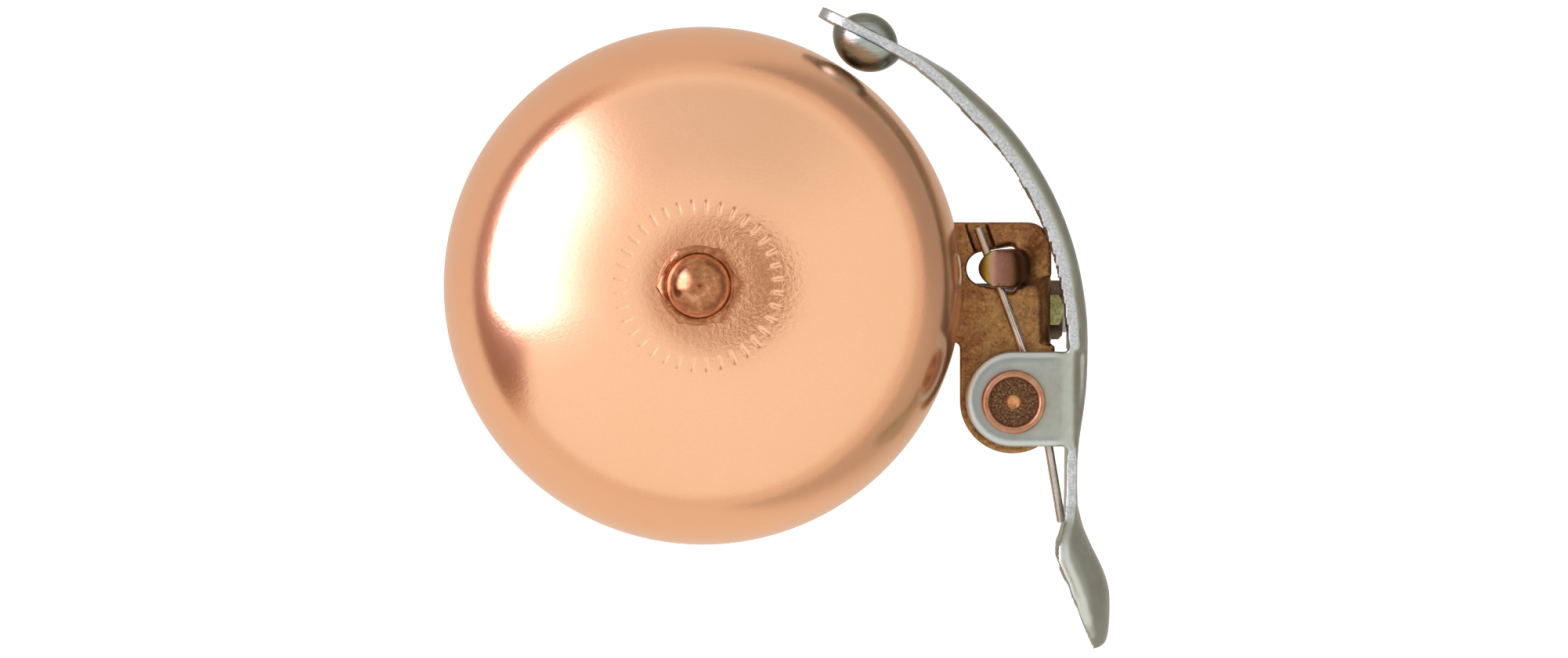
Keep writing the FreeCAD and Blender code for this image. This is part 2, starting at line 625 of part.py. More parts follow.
def build_screw():
    """Round-headed screw with a cross recess, turned upright and laid along X."""
    head, height, shank = dims.head_radius, dims.head_height, dims.screw_radius
    length = dims.screw_end - dims.lock_washer_x
    head_round, chamfer = 0.9, 0.3
    body = turned_body("screw", [
        (0, -height), (head - head_round, -height),
        ((head - head_round, head_round - height), (head, head_round - height), CCW),
        (head, 0), (shank, 0), (shank, length - chamfer), (shank - chamfer, length),
        (0, length)])
    sketch = body_sketch(body, "screw_recess", "XY_Plane")
    sketch.AttachmentOffset = Placement(V(0, 0, -height), Rotation())
    slot, arm = 0.42, 1.65          # half width of the slots, reach of the arms
    outline(sketch, (slot, slot), (slot, arm), (-slot, arm), (-slot, slot),
            (-arm, slot), (-arm, -slot), (-slot, -slot), (-slot, -arm),
            (slot, -arm), (slot, -slot), (arm, -slot), (arm, slot))
    pocket_upward(body, "screw_cross", sketch, "dims.recess_depth")
    body.Placement = Placement(V(0, 0, 0), Rotation(V(0, 1, 0), 90))
    place(body, "dims.lock_washer_x", None, "dims.screw_level")
    keep(body, "clamp_screw")


def build_nut():
    """Hexagon nut with the corners at its outer end turned to a cone."""
    prism = hexagon("clamp_nut_prism", "dims.nut_flats / %s" % ROOT_3)
    bind(prism, Height="dims.nut_thick")
    cone = doc.addObject("Part::Cone", "clamp_nut_cone")
    bind(cone, Radius1="dims.nut_flats / %s + 1.35" % ROOT_3,
         Radius2="dims.nut_flats / 2 + 0.02", Height="dims.nut_thick")
    bore = cylinder("clamp_nut_bore", "dims.nut_bore", "dims.nut_thick")
    turned = combine("Common", "clamp_nut_turned", prism, cone)
    nut = combine("Cut", "clamp_nut_done", turned, bore)
    nut.Placement = nut_placement()
    keep(nut, "clamp_nut")


# ------------------------------------------------------- washers and sleeves
BUSH_BORE = "dims.rivet_radius + dims.bush_clear"
PIVOT_WASHER = ("dims.pivot_washer_radius", "dims.rivet_radius + dims.pivot_washer_clear",
                "dims.pivot_washer_thick")
# label, outer radius, bore radius, height, x, y, z, axis if not Z
RINGS = [
    ("dome_seat_washer", "dims.seat_washer_radius", "dims.dome_hole",
     "dims.seat_washer_thick", *DOME_AXIS, "dims.seat_level"),
    ("cap_washer", "dims.cap_washer_radius", "dims.dome_hole",
     "dims.cap_washer_thick", *DOME_AXIS, "dims.crown_level"),
    ("post_base_washer", "dims.base_washer_radius",
     "dims.tenon_radius + dims.base_washer_clear",
     "dims.base_washer_thick", *DOME_AXIS, "dims.plate_top"),
    ("screw_flat_washer", "dims.flat_washer_radius", "dims.washer_bore",
     "dims.flat_washer_thick", "dims.flat_washer_x", None, "dims.screw_level", "X"),
    ("pivot_bush", "dims.bush_radius", BUSH_BORE,
     "dims.bush_height", *PIVOT_AXIS, "dims.plate_top"),
    ("pivot_top_washer", *PIVOT_WASHER, *PIVOT_AXIS, "dims.top_washer_level"),
    ("pivot_spacer", "dims.spacer_radius", BUSH_BORE,
     "dims.spacer_height", *PIVOT_AXIS, "dims.spacer_level"),
    ("pivot_back_washer", *PIVOT_WASHER, *PIVOT_AXIS, "dims.bottom_washer_level"),
]


def build_pivot_rivet():
    """Rivet from the tail up to the cupped head with its rolled rim."""
    shank, tail, tail_low = dims.rivet_radius, dims.tail_radius, -dims.tail_height
    head, cup, bump = dims.rivet_head_radius, dims.rivet_cup_radius, dims.rivet_bump_radius
    grip = dims.rivet_grip
    rim = (head - cup) / 2
    rim_z = grip + dims.rivet_head_height - rim
    floor = grip + dims.rivet_floor
    tail_round, bump_sunk = 0.5, 0.55       # the bump's centre lies below the cup floor
    bump_centre = floor - bump_sunk
    body = turned_body(
        "pivot_rivet",
        [(0, tail_low), (tail - tail_round, tail_low),
         ((tail - tail_round, tail_low + tail_round), (tail, tail_low + tail_round), CCW),
         (tail, 0), (shank, 0), (shank, grip), (head, grip), (head, rim_z),
         ((head - rim, rim_z), (cup, rim_z), CCW), (cup, floor), (bump, floor),
         ((0, bump_centre), (0, bump_centre + math.hypot(bump, bump_sunk)), CCW)],
        distances=[(5, "rivet_radius"), (7, "rivet_head_radius")])
    place(body, *PIVOT_AXIS, "dims.bottom_washer_level")
    keep(body, "pivot_rivet")


# -------------------------------------------------------------------- lever
STRIP_TURN = math.radians(dims.strip_angle)
STRIP_NORMAL = V(-math.sin(STRIP_TURN), math.cos(STRIP_TURN), 0)    # inner to outer face
BALL_CENTRE = V(dims.ball_x, dims.ball_y, dims.ball_level)
rows = [[getattr(dims, station_alias(column, number)) for column in STATION_COLUMNS]
        for number in range(len(STATIONS))]
# distance of the strip's inner face from the ball centre, along the normal
STRIP_FACE = (V(rows[1][0], rows[1][1], 0) - V(dims.ball_x, dims.ball_y, 0)).dot(STRIP_NORMAL)


def smooth(xs, ys, x):
    """Monotone cubic through the table: no overshoot between the given sections."""
    count = len(xs)
    gaps = [xs[i + 1] - xs[i] for i in range(count - 1)]
    slopes = [(ys[i + 1] - ys[i]) / gaps[i] for i in range(count - 1)]
    tangents = [slopes[0]]
    for i in range(1, count - 1):
        if slopes[i - 1] * slopes[i] <= 0:
            tangents.append(0.0)
        else:
            before = 2 * gaps[i] + gaps[i - 1]
            after = gaps[i] + 2 * gaps[i - 1]
            tangents.append((before + after) / (before / slopes[i - 1] + after / slopes[i]))
    tangents.append(slopes[-1])
    i = 0
    while i < count - 2 and x > xs[i + 1]:
        i += 1
    gap = gaps[i]
    f = (x - xs[i]) / gap
    return ((1 + 2 * f) * (1 - f) ** 2 * ys[i] + f * (1 - f) ** 2 * gap * tangents[i]
            + f * f * (3 - 2 * f) * ys[i + 1] + f * f * (f - 1) * gap * tangents[i + 1])


def strip_section(along, distance):
    """Closed section of the strip at a distance along it."""
    x, y, turn_angle, bulge, top, low = [
        smooth(along, column, distance) for column in zip(*rows)]
    angle = math.radians(turn_angle)
    normal = V(-math.sin(angle), math.cos(angle), 0)
    middle = (top + low) / 2
    thick = dims.strip_thick

    def point(offset, z):
        return V(x, y, z) + normal * offset

    return Part.Wire([
        Part.Arc(point(0, top), point(bulge, middle), point(0, low)).toShape(),
        Part.makeLine(point(0, low), point(thick, low)),
        Part.Arc(point(thick, low), point(thick + bulge, middle),
                 point(thick, top)).toShape(),
        Part.makeLine(point(thick, top), point(0, top))])


def lever_arm():
    """Sections about every 1.5 mm, joined by ruled strips."""
    spacing = 1.5
    along = [0.0]
    for last, row in zip(rows, rows[1:]):
        along.append(along[-1] + math.hypot(row[0] - last[0], row[1] - last[1]))
    distances = []
    for begin, end in zip(along, along[1:]):
        steps = max(1, int(round((end - begin) / spacing)))
        distances += [begin + (end - begin) * i / steps for i in range(steps)]
    distances.append(along[-1])
    return Part.makeLoft([strip_section(along, d) for d in distances], True, True)


EAR_Y = (dims.ear_y_max + dims.ear_y_min) / 2
WEB_OUTER = dims.web_face + dims.strip_thick
BEND_X = WEB_OUTER - dims.ear_bend_outer


def ear(level, sign, radius):
    """Flat ear with a round end about the pivot and a bend into the web.
    level is its outer face; sign is -1 for the top ear, +1 for the bottom ear."""
    thick, outer = dims.strip_thick, dims.ear_bend_outer
    inner = outer - thick
    inner_z = level + sign * thick
    bend_z = level + sign * outer
    left = dims.pivot_x - radius - 1

    def mid_bend(bend):
        return V(BEND_X + bend * math.cos(math.pi / 4), 0,
                 bend_z - sign * bend * math.sin(math.pi / 4))

    flat_start, flat_end = V(left, 0, level), V(BEND_X, 0, level)
    web_outer, web_inner = V(WEB_OUTER, 0, bend_z), V(WEB_OUTER - thick, 0, bend_z)
    back_end, back_start = V(BEND_X, 0, inner_z), V(left, 0, inner_z)
    face = Part.Face(Part.Wire([
        Part.makeLine(flat_start, flat_end),
        Part.Arc(flat_end, mid_bend(outer), web_outer).toShape(),
        Part.makeLine(web_outer, web_inner),
        Part.Arc(web_inner, mid_bend(inner), back_end).toShape(),
        Part.makeLine(back_end, back_start),
        Part.makeLine(back_start, flat_start)]))
    solid = face.extrude(V(0, 2 * radius, 0))
    solid.translate(V(0, EAR_Y - radius, 0))
    # plan of the ear: half round at the pivot, straight to the web
    low = min(level, bend_z) - 1
    height = max(level, bend_z) + 1 - low
    disc = Part.makeCylinder(radius, height, V(dims.pivot_x, EAR_Y, low))
    slab = Part.makeBox(WEB_OUTER - dims.pivot_x + 2, 2 * radius, height,
                        V(dims.pivot_x, EAR_Y - radius, low))
    return solid.common(disc.fuse(slab))


def corner_waste(level, sign, radius):
    """What the outer bend radius takes off the square corner of the web."""
    bend = dims.ear_bend_outer
    bend_z = level + sign * bend
    low = min(level, bend_z) - (1.0 if sign > 0 else 0)
    start_y = EAR_Y - radius
    box = Part.makeBox(bend + 4, 2 * radius, bend + 1.0, V(BEND_X, start_y, low))
    return box.cut(Part.makeCylinder(bend, 2 * radius + 2, V(BEND_X, start_y - 1, bend_z),
                                     V(0, 1, 0)))


def build_lever():
    ears = [(dims.top_ear_level, -1, dims.top_ear_radius),
            (dims.bottom_ear_level, 1, dims.bottom_ear_radius)]
    lever = lever_arm().fuse([ear(*values) for values in ears])
    for values in ears:
        lever = lever.cut(corner_waste(*values))
    # rounded tip beyond the striker
    x, y, _, _, top, low = rows[0]
    lever = lever.fuse(Part.makeCylinder(
        dims.tip_radius, dims.strip_thick, V(x, y, (top + low) / 2), STRIP_NORMAL))
    # holes for the pivot rivet and the striker rivet
    lever = lever.cut(Part.makeCylinder(
        dims.rivet_hole, 14, V(dims.pivot_x, dims.pivot_y, 10.5)))
    lever = lever.cut(Part.makeCylinder(
        dims.striker_shank, 6, BALL_CENTRE + STRIP_NORMAL * (STRIP_FACE - 2), STRIP_NORMAL))
    lever = lever.removeSplitter()
    if len(lever.Solids) == 1:
        lever = lever.Solids[0]
    keep_shape(lever, "striker_lever")


# ------------------------------------------------------------------ striker
def half_space(offset, start):
    """Large box on one side of a plane square to the strip's normal: the inner
    side for a start of -20, the outer side for a start of 0."""
    box = Part.makeBox(20, 20, 20, V(-10, start, -10))
    box.Placement = Placement(BALL_CENTRE + STRIP_NORMAL * offset,
                              Rotation(V(0, 1, 0), STRIP_NORMAL))
    return box


def striker_shank(length):
    return Part.makeCylinder(
        dims.striker_shank, length,
        BALL_CENTRE + STRIP_NORMAL * (STRIP_FACE - dims.striker_shank_deep), STRIP_NORMAL)


def build_striker_ball():
    ball = Part.makeSphere(dims.ball_radius, BALL_CENTRE)
    ball = ball.common(half_space(STRIP_FACE, -20)).cut(striker_shank(4))
    keep_shape(ball.Solids[0], "striker_ball")


def build_striker_rivet():
    seat = STRIP_FACE + dims.strip_thick + 0.01
    radius, height = dims.striker_head_radius, dims.striker_head_height
    sphere = (radius ** 2 + height ** 2) / (2 * height)
    head = Part.makeSphere(sphere, BALL_CENTRE + STRIP_NORMAL * (seat + height - sphere))
    head = head.common(half_space(seat, 0))
    shank = striker_shank(dims.strip_thick + dims.striker_shank_deep)
    keep_shape(head.fuse(shank).removeSplitter().Solids[0], "striker_rivet")


# ------------------------------------------------------------------- spring
def build_spring():
    """The start leg runs to the right side of the coil, the coil winds clockwise
    seen from +Z while it rises, and the end leg leaves from the right side."""
    coil, start_z, end_z = dims.coil_radius, dims.coil_start, dims.end_leg_level
    start = V(dims.start_leg_x, dims.start_leg_y, 0)
    end = V(dims.end_leg_x, dims.end_leg_y, 0)
    centre = V(dims.pivot_x, dims.pivot_y, 0)
    groove_drop, ramp = 0.25, 0.35  # the wire starts lower, over this part of the leg
    leg_steps, coil_steps = 9, 56

    def touch_angle(point, side):
        """Angle on the coil where a line from the point touches it."""
        reach = point - centre
        return math.atan2(reach.y, reach.x) + side * math.acos(coil / reach.Length)

    def on_coil(angle, z):
        x, y = polar(coil, angle)
        return V(centre.x + x, centre.y + y, z)

    first, last = touch_angle(start, -1), touch_angle(end, 1)
    sweep = 2 * math.pi * dims.coil_turns + (first - last) % (2 * math.pi)
    rise = dims.coil_pitch * sweep / (2 * math.pi)
    points = []
    touch = on_coil(first, 0)
    for k in range(leg_steps):
        f = k / leg_steps
        z = start_z - groove_drop + groove_drop * min(1.0, f / ramp)
        points.append(start + (touch - start) * f + V(0, 0, z))
    for k in range(coil_steps + 1):
        f = k / coil_steps
        points.append(on_coil(first - sweep * f, start_z + rise * f))
    touch = on_coil(last, 0)
    top = start_z + rise
    for k in range(1, leg_steps):
        f = k / (leg_steps - 1)
        points.append(touch + (end - touch) * f + V(0, 0, top + (end_z - top) * f ** 1.3))

    curve = Part.BSplineCurve()
    curve.interpolate(points)
    tangent = curve.tangent(curve.FirstParameter)[0]
    wire = Part.Wire([Part.Circle(points[0], tangent, dims.wire_radius).toShape()])
    shell = Part.BRepOffsetAPI.MakePipeShell(Part.Wire([curve.toShape()]))
    shell.setFrenetMode(False)
    shell.add(wire)
    shell.build()
    shell.makeSolid()
    keep_shape(shell.shape(), "return_spring")


# ------------------------------------------------------- build, check, export
build_dome()
build_cap_nut()
build_post()
build_bracket()
build_strap()
build_liner()
build_spring_washer()
build_screw()
build_nut()
for entry in RINGS:
    ring(*entry)
build_pivot_rivet()
build_lever()
build_striker_ball()
build_striker_rivet()
build_spring()
doc.recompute()

problems = ["%s: %s" % (obj.Name, obj.State) for obj in doc.Objects
            if "Invalid" in obj.State or "Error" in obj.State]
for part in parts:
    shape = part.Shape
    if shape.isNull() or not shape.isValid() or not shape.Solids:
        problems.append("%s: shape null, invalid or without a solid" % part.Label)
if problems:
    raise SystemExit("\n".join(problems))
for part in parts:
    part.Shape.exportStep("parts/%s.step" % part.Label)
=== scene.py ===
"""A striker bell: a spun dome on a pressed bracket, with a sprung striker lever at its side.

The frame is in metres with +Z up. The dome stands mouth down on a vertical axis, its cap nut
on top. The lever turns about a vertical rivet, and its paddle reaches towards -Y. The camera
looks straight down. Shapes are worked out in millimetres and scaled by MM as they are made.
"""
import json
import math
import bpy
import bmesh
import numpy as np
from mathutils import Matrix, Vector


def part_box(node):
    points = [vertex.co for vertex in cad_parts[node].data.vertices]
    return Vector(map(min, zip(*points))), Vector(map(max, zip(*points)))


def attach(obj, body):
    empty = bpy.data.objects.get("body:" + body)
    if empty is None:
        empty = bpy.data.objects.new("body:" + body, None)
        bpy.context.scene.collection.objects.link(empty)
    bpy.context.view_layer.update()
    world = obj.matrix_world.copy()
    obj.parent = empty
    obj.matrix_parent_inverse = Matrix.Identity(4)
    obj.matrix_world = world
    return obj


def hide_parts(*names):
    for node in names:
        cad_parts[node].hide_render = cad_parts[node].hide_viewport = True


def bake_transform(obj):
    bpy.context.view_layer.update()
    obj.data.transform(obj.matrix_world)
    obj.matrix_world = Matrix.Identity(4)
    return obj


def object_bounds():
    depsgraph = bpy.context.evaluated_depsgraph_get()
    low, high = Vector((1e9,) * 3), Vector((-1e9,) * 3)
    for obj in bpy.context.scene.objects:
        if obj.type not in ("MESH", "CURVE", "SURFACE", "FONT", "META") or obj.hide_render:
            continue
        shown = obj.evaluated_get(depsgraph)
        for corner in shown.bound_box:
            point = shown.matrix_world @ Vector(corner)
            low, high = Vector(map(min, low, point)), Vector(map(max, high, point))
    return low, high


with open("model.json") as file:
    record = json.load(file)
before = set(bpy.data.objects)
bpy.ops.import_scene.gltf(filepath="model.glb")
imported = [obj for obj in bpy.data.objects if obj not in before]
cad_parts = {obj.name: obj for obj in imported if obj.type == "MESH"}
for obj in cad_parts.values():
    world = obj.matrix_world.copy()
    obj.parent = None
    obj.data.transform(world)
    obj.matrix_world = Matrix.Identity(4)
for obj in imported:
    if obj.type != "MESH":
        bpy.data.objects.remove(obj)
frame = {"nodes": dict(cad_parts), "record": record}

CAD_BOX = [list(corner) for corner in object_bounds()]
MM = 0.001
TURN = 2 * math.pi
NODES = frame["nodes"]
SLOT_OF = {part["node"]: part["material_slot"] for part in frame["record"]["subparts"]}
COLLECTION = bpy.context.scene.collection


def centre_mm(node):
    low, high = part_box(node)
    return (low + high) / 2 / MM


def heights_mm(node):
    low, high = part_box(node)
    return low.z / MM, high.z / MM


DOME = centre_mm("bell_dome")
PIVOT = centre_mm("pivot_rivet")
DOME_LOW, DOME_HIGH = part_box("bell_dome")
DOME_WIDTH = (DOME_HIGH - DOME_LOW).x      # metres
RIM_Z, TOP_Z = heights_mm("bell_dome")

# the lever's flat upper ear has a round end about this centre line
EAR_RADIUS = 5.06
EAR_Y = PIVOT.y + 0.3


# ------------------------------------------------------------------ node helpers
class Graph:
    """Short calls that add nodes to one shader tree."""

    def __init__(self, tree):
        self.tree = tree

    def put(self, socket, value):
        """Link a socket, or set a value; a colour of three numbers gets alpha 1."""
        if isinstance(value, bpy.types.NodeSocket):
            self.tree.links.new(value, socket)
        elif isinstance(value, tuple) and len(value) == 3 and socket.type == "RGBA":
            socket.default_value = (*value, 1.0)
        else:
            socket.default_value = value

    def node(self, kind, inputs=None, **settings):
        """Add a node; inputs maps a socket's name or number to its value or source."""
        new = self.tree.nodes.new("ShaderNode" + kind)
        for key, value in settings.items():
            setattr(new, key, value)
        for key, value in (inputs or {}).items():
            self.put(new.inputs[key], value)
        return new

    def math(self, operation, first, second=0.0, clamp=False):
        inputs = {0: first, 1: second, 2: 0.0}
        return self.node("Math", inputs, operation=operation, use_clamp=clamp).outputs[0]

    def total(self, result, *terms):
        for term in terms:
            result = self.math("ADD", result, term)
        return result

    def product(self, result, *factors):
        for factor in factors:
            result = self.math("MULTIPLY", result, factor)
        return result

    def invert(self, value):
        return self.math("SUBTRACT", 1.0, value)

    def map(self, value, of, to, kind="LINEAR"):
        """Carry the range `of` over to the range `to`."""
        inputs = {"Value": value, "From Min": of[0], "From Max": of[1],
                  "To Min": to[0], "To Max": to[1]}
        return self.node("MapRange", inputs, interpolation_type=kind).outputs["Result"]

    def step(self, value, start, end):
        """Soft step from 0 at start to 1 at end; start may be the larger."""
        to = (0.0, 1.0) if start < end else (1.0, 0.0)
        return self.map(value, (min(start, end), max(start, end)), to, "SMOOTHSTEP")

    def mix(self, factor, base, other, blend="MIX"):
        inputs = {0: factor, 6: base, 7: other}
        return self.node("Mix", inputs, data_type="RGBA", blend_type=blend).outputs[2]

    def xyz(self, vector):
        return self.node("SeparateXYZ", {0: vector}).outputs


def blank_material(name):
    material = bpy.data.materials.new(name)
    material.use_nodes = True
    material.node_tree.nodes.clear()
    return material


class Mat(Graph):
    """A Principled surface fed by procedural nodes in object space, in metres."""

    def __init__(self, name):
        self.material = blank_material(name)
        super().__init__(self.material.node_tree)
        self.output = self.node("OutputMaterial")
        self.shader = self.node("BsdfPrincipled")
        self.put(self.output.inputs["Surface"], self.shader.outputs["BSDF"])
        self.place = self.node("TexCoord").outputs["Object"]

    def noise(self, scale, detail=3.0, rough=0.55, vector=None, distort=0.0):
        inputs = {"Vector": vector or self.place, "Scale": scale, "Detail": detail,
                  "Roughness": rough, "Distortion": distort}
        return self.node("TexNoise", inputs).outputs["Fac"]

    def ramp(self, factor, stops):
        """Colour ramp; stops are (position, colour)."""
        ramp = self.node("ValToRGB", {"Fac": factor})
        elements = ramp.color_ramp.elements
        while len(elements) > 1:
            elements.remove(elements[-1])
        elements[0].position = stops[0][0]
        elements[0].color = (*stops[0][1], 1)
        for position, color in stops[1:]:
            elements.new(position).color = (*color, 1)
        return ramp.outputs["Color"]

    def grey(self, factor, stops):
        """Grey ramp; stops are (position, level)."""
        return self.ramp(factor, [(position, (level,) * 3) for position, level in stops])

    def stain(self, base, pattern, stops, color):
        """Lay a colour over the base, as strong as the grey stops make the pattern."""
        return self.mix(self.grey(pattern, stops), base, color)

    def stretched(self, scale, turn=0.0):
        """Object coordinates turned about Z by `turn`, in radians, and scaled."""
        inputs = {"Vector": self.place, "Scale": scale, "Rotation": (0, 0, turn)}
        return self.node("Mapping", inputs).outputs["Vector"]

    def length(self, run, rise):
        squares = self.total(self.product(run, run), self.product(rise, rise))
        return self.math("SQRT", squares)

    def radius_from(self, x, y):
        """Distance in metres from a vertical axis placed in millimetres."""
        position = self.xyz(self.place)
        run = self.math("SUBTRACT", position[0], x * MM)
        rise = self.math("SUBTRACT", position[1], y * MM)
        return self.length(run, rise)

    def normal(self):
        return self.xyz(self.node("NewGeometry").outputs["Normal"])

    def rough_over(self, broad, base, fine, ripple):
        """Roughness: the base range over a broad pattern, rippled by a fine one."""
        return self.total(self.map(broad, of=(0.2, 0.8), to=base),
                          self.map(fine, of=(0.3, 0.7), to=ripple))

    def bump(self, height, strength, distance):
        inputs = {"Strength": strength, "Distance": distance, "Height": height}
        return self.node("Bump", inputs).outputs["Normal"]

    def done(self, color, rough, normal, metal=1.0):
        for key, value in (("Base Color", color), ("Roughness", rough),
                           ("Metallic", metal), ("Normal", normal)):
            self.put(self.shader.inputs[key], value)
        return self.material


# ------------------------------------------------------------------ materials
def satin_copper():
    """Spun satin copper: rings about the dome axis, a fine grain and a soft haze."""
    mat = Mat("satin_copper")
    radius = mat.radius_from(DOME.x, DOME.y)
    rings_per_metre = 9000.0
    spin = mat.node("CombineXYZ", {0: mat.product(radius, rings_per_metre)})
    lines = mat.noise(scale=1.0, detail=4.0, rough=0.7, vector=spin.outputs[0])
    cloud = mat.noise(scale=38.0, detail=3.0, rough=0.5)
    grain = mat.noise(scale=5200.0, detail=2.0, rough=0.6)
    color = mat.ramp(cloud, [(0.25, (0.930, 0.532, 0.312)), (0.75, (0.950, 0.560, 0.340))])
    color = mat.stain(color, grain, [(0.30, 0.14), (0.55, 0.0)], color=(0.76, 0.38, 0.20))
    rough = mat.total(mat.map(cloud, of=(0.2, 0.8), to=(0.165, 0.19)),
                      mat.map(grain, of=(0.2, 0.8), to=(-0.02, 0.03)),
                      mat.map(lines, of=(0.3, 0.7), to=(-0.012, 0.012)))
    grain_height, line_height, peel_height, leather_height = 0.6, 0.35, 1.3, 4.2
    height = mat.total(mat.product(grain, grain_height), mat.product(lines, line_height))
    peel = mat.noise(scale=2300.0, detail=2.0, rough=0.5)
    height = mat.total(height, mat.product(peel, peel_height))
    # a leathery patch on the +X side of the nut
    leather = mat.noise(scale=2300.0, detail=3.0, rough=0.6)
    from_patch = mat.radius_from(DOME.x + 5.2, DOME.y + 0.4)
    patch = mat.grey(mat.map(from_patch, of=(0.0015, 0.0080), to=(1.0, 0.0)),
                     [(0.0, 0.0), (0.6, 1.0)])
    height = mat.total(height, mat.product(leather, patch, leather_height))
    normal = mat.bump(height, strength=0.20, distance=0.00003)
    # satin: a clear lobe with a small share of a broad one
    haze_extra_rough, haze_share = 0.44, 0.13
    haze = mat.node("BsdfPrincipled", {
        "Base Color": color, "Roughness": mat.total(rough, haze_extra_rough),
        "Metallic": 1.0, "Normal": normal})
    blend = mat.node("MixShader", {0: haze_share, 1: mat.shader.outputs[0], 2: haze.outputs[0]})
    mat.put(mat.output.inputs["Surface"], blend.outputs[0])
    return mat.done(color, rough, normal)


def nut_copper():
    mat = Mat("nut_copper")
    cloud = mat.noise(scale=900.0, detail=5.0, rough=0.7)
    grain = mat.noise(scale=6500.0, detail=3.0, rough=0.6)
    color = mat.ramp(cloud, [
        (0.30, (0.33, 0.120, 0.045)), (0.50, (0.47, 0.195, 0.088)), (0.68, (0.70, 0.36, 0.20))])
    color = mat.stain(color, grain, [(0.35, 0.35), (0.55, 0.0)], color=(0.33, 0.13, 0.05))
    rough = mat.rough_over(cloud, base=(0.16, 0.26), fine=grain, ripple=(-0.03, 0.04))
    return mat.done(color, rough, mat.bump(grain, strength=0.15, distance=0.00003))


def yellow_zinc():
    """Mottled yellow chromate over brown, with painted reflection tints and painted shade that
    follow the bends.
    """
    mat = Mat("yellow_zinc")
    big = mat.noise(scale=150.0, detail=4.0, rough=0.6, distort=0.6)
    middle = mat.noise(scale=620.0, detail=4.0, rough=0.65)
    fine = mat.noise(scale=2800.0, detail=4.0, rough=0.78)
    ramp_shift = 0.0      # slides the mottling along its colour ramp
    color = mat.ramp(mat.total(big, ramp_shift), [
        (0.24, (0.150, 0.060, 0.022)), (0.38, (0.250, 0.102, 0.040)),
        (0.48, (0.325, 0.145, 0.062)), (0.57, (0.400, 0.215, 0.078)),
        (0.66, (0.330, 0.165, 0.075)), (0.80, (0.235, 0.120, 0.052))])
    color = mat.stain(color, middle, [(0.46, 0.0), (0.72, 0.50)], color=(0.46, 0.275, 0.085))
    green = mat.noise(scale=330.0, detail=2.0, rough=0.5, distort=0.4)
    color = mat.stain(color, green, [(0.60, 0.0), (0.78, 0.26)], color=(0.22, 0.24, 0.070))
    color = mat.stain(color, fine, [(0.36, 0.70), (0.48, 0.0)], color=(0.085, 0.036, 0.014))
    color = mat.stain(color, fine, [(0.56, 0.0), (0.68, 0.60)], color=(0.66, 0.44, 0.17))
    # painted reflection tint and painted shade by facing: green-gold on faces towards -X,
    # purple-brown to near black on faces towards +X, most on the raised lug
    facing_x = mat.normal()[0]
    lug = mat.map(mat.xyz(mat.place)[2], of=(0.01785, 0.01830), to=(0.0, 1.0))
    lug_strength = 0.75
    painted_facing_tint = mat.ramp(mat.map(facing_x, of=(-0.62, 0.62), to=(0.0, 1.0)), [
        (0.0, (0.30, 0.24, 0.070)), (0.16, (0.42, 0.44, 0.120)), (0.30, (0.40, 0.33, 0.130)),
        (0.42, (0.50, 0.27, 0.215)), (0.54, (0.40, 0.18, 0.160)), (0.68, (0.215, 0.085, 0.080)),
        (0.85, (0.150, 0.060, 0.045)), (1.0, (0.085, 0.030, 0.016))])
    color = mat.mix(mat.product(lug, lug_strength), color, painted_facing_tint)
    # painted reflection tint: green-gold on faces turned towards -X
    color = mat.stain(color, mat.map(facing_x, of=(-0.85, -0.25), to=(1.0, 0.0)),
                      [(0.0, 0.0), (1.0, 0.45)], color=(0.30, 0.28, 0.075))
    # painted shade: darker brown on faces turned towards +X
    color = mat.stain(color, mat.map(facing_x, of=(0.20, 0.80), to=(0.0, 1.0)),
                      [(0.0, 0.0), (1.0, 0.60)], color=(0.12, 0.045, 0.022))
    rough = mat.rough_over(middle, base=(0.28, 0.40), fine=fine, ripple=(-0.05, 0.07))
    fine_height, middle_height = 0.6, 0.5
    height = mat.total(mat.product(fine, fine_height), mat.product(middle, middle_height))
    return mat.done(color, rough, mat.bump(height, strength=0.40, distance=0.00007))


def nut_zinc():
    """Yellow zinc on the clamp nut, with painted light and shade: green-gold where it faces up,
    dark brown on the sides.
    """
    mat = Mat("nut_zinc")
    cloud = mat.noise(scale=420.0, detail=4.0, rough=0.6, distort=0.4)
    fine = mat.noise(scale=3600.0, detail=3.0, rough=0.7)
    # painted light: this green-gold copy is for the faces turned up
    top = mat.ramp(cloud, [
        (0.30, (0.26, 0.27, 0.095)), (0.50, (0.44, 0.47, 0.20)), (0.68, (0.62, 0.66, 0.36))])
    # painted shade: this dark brown copy is for the sides
    side = mat.ramp(cloud, [
        (0.30, (0.060, 0.036, 0.020)), (0.55, (0.130, 0.080, 0.042)),
        (0.75, (0.20, 0.125, 0.070))])
    color = mat.stain(side, mat.normal()[2], [(0.60, 0.0), (0.85, 1.0)], color=top)
    color = mat.stain(color, fine, [(0.36, 0.45), (0.50, 0.0)], color=(0.07, 0.05, 0.025))
    rough = mat.rough_over(cloud, base=(0.22, 0.32), fine=fine, ripple=(-0.04, 0.06))
    return mat.done(color, rough, mat.bump(fine, strength=0.3, distance=0.00005))


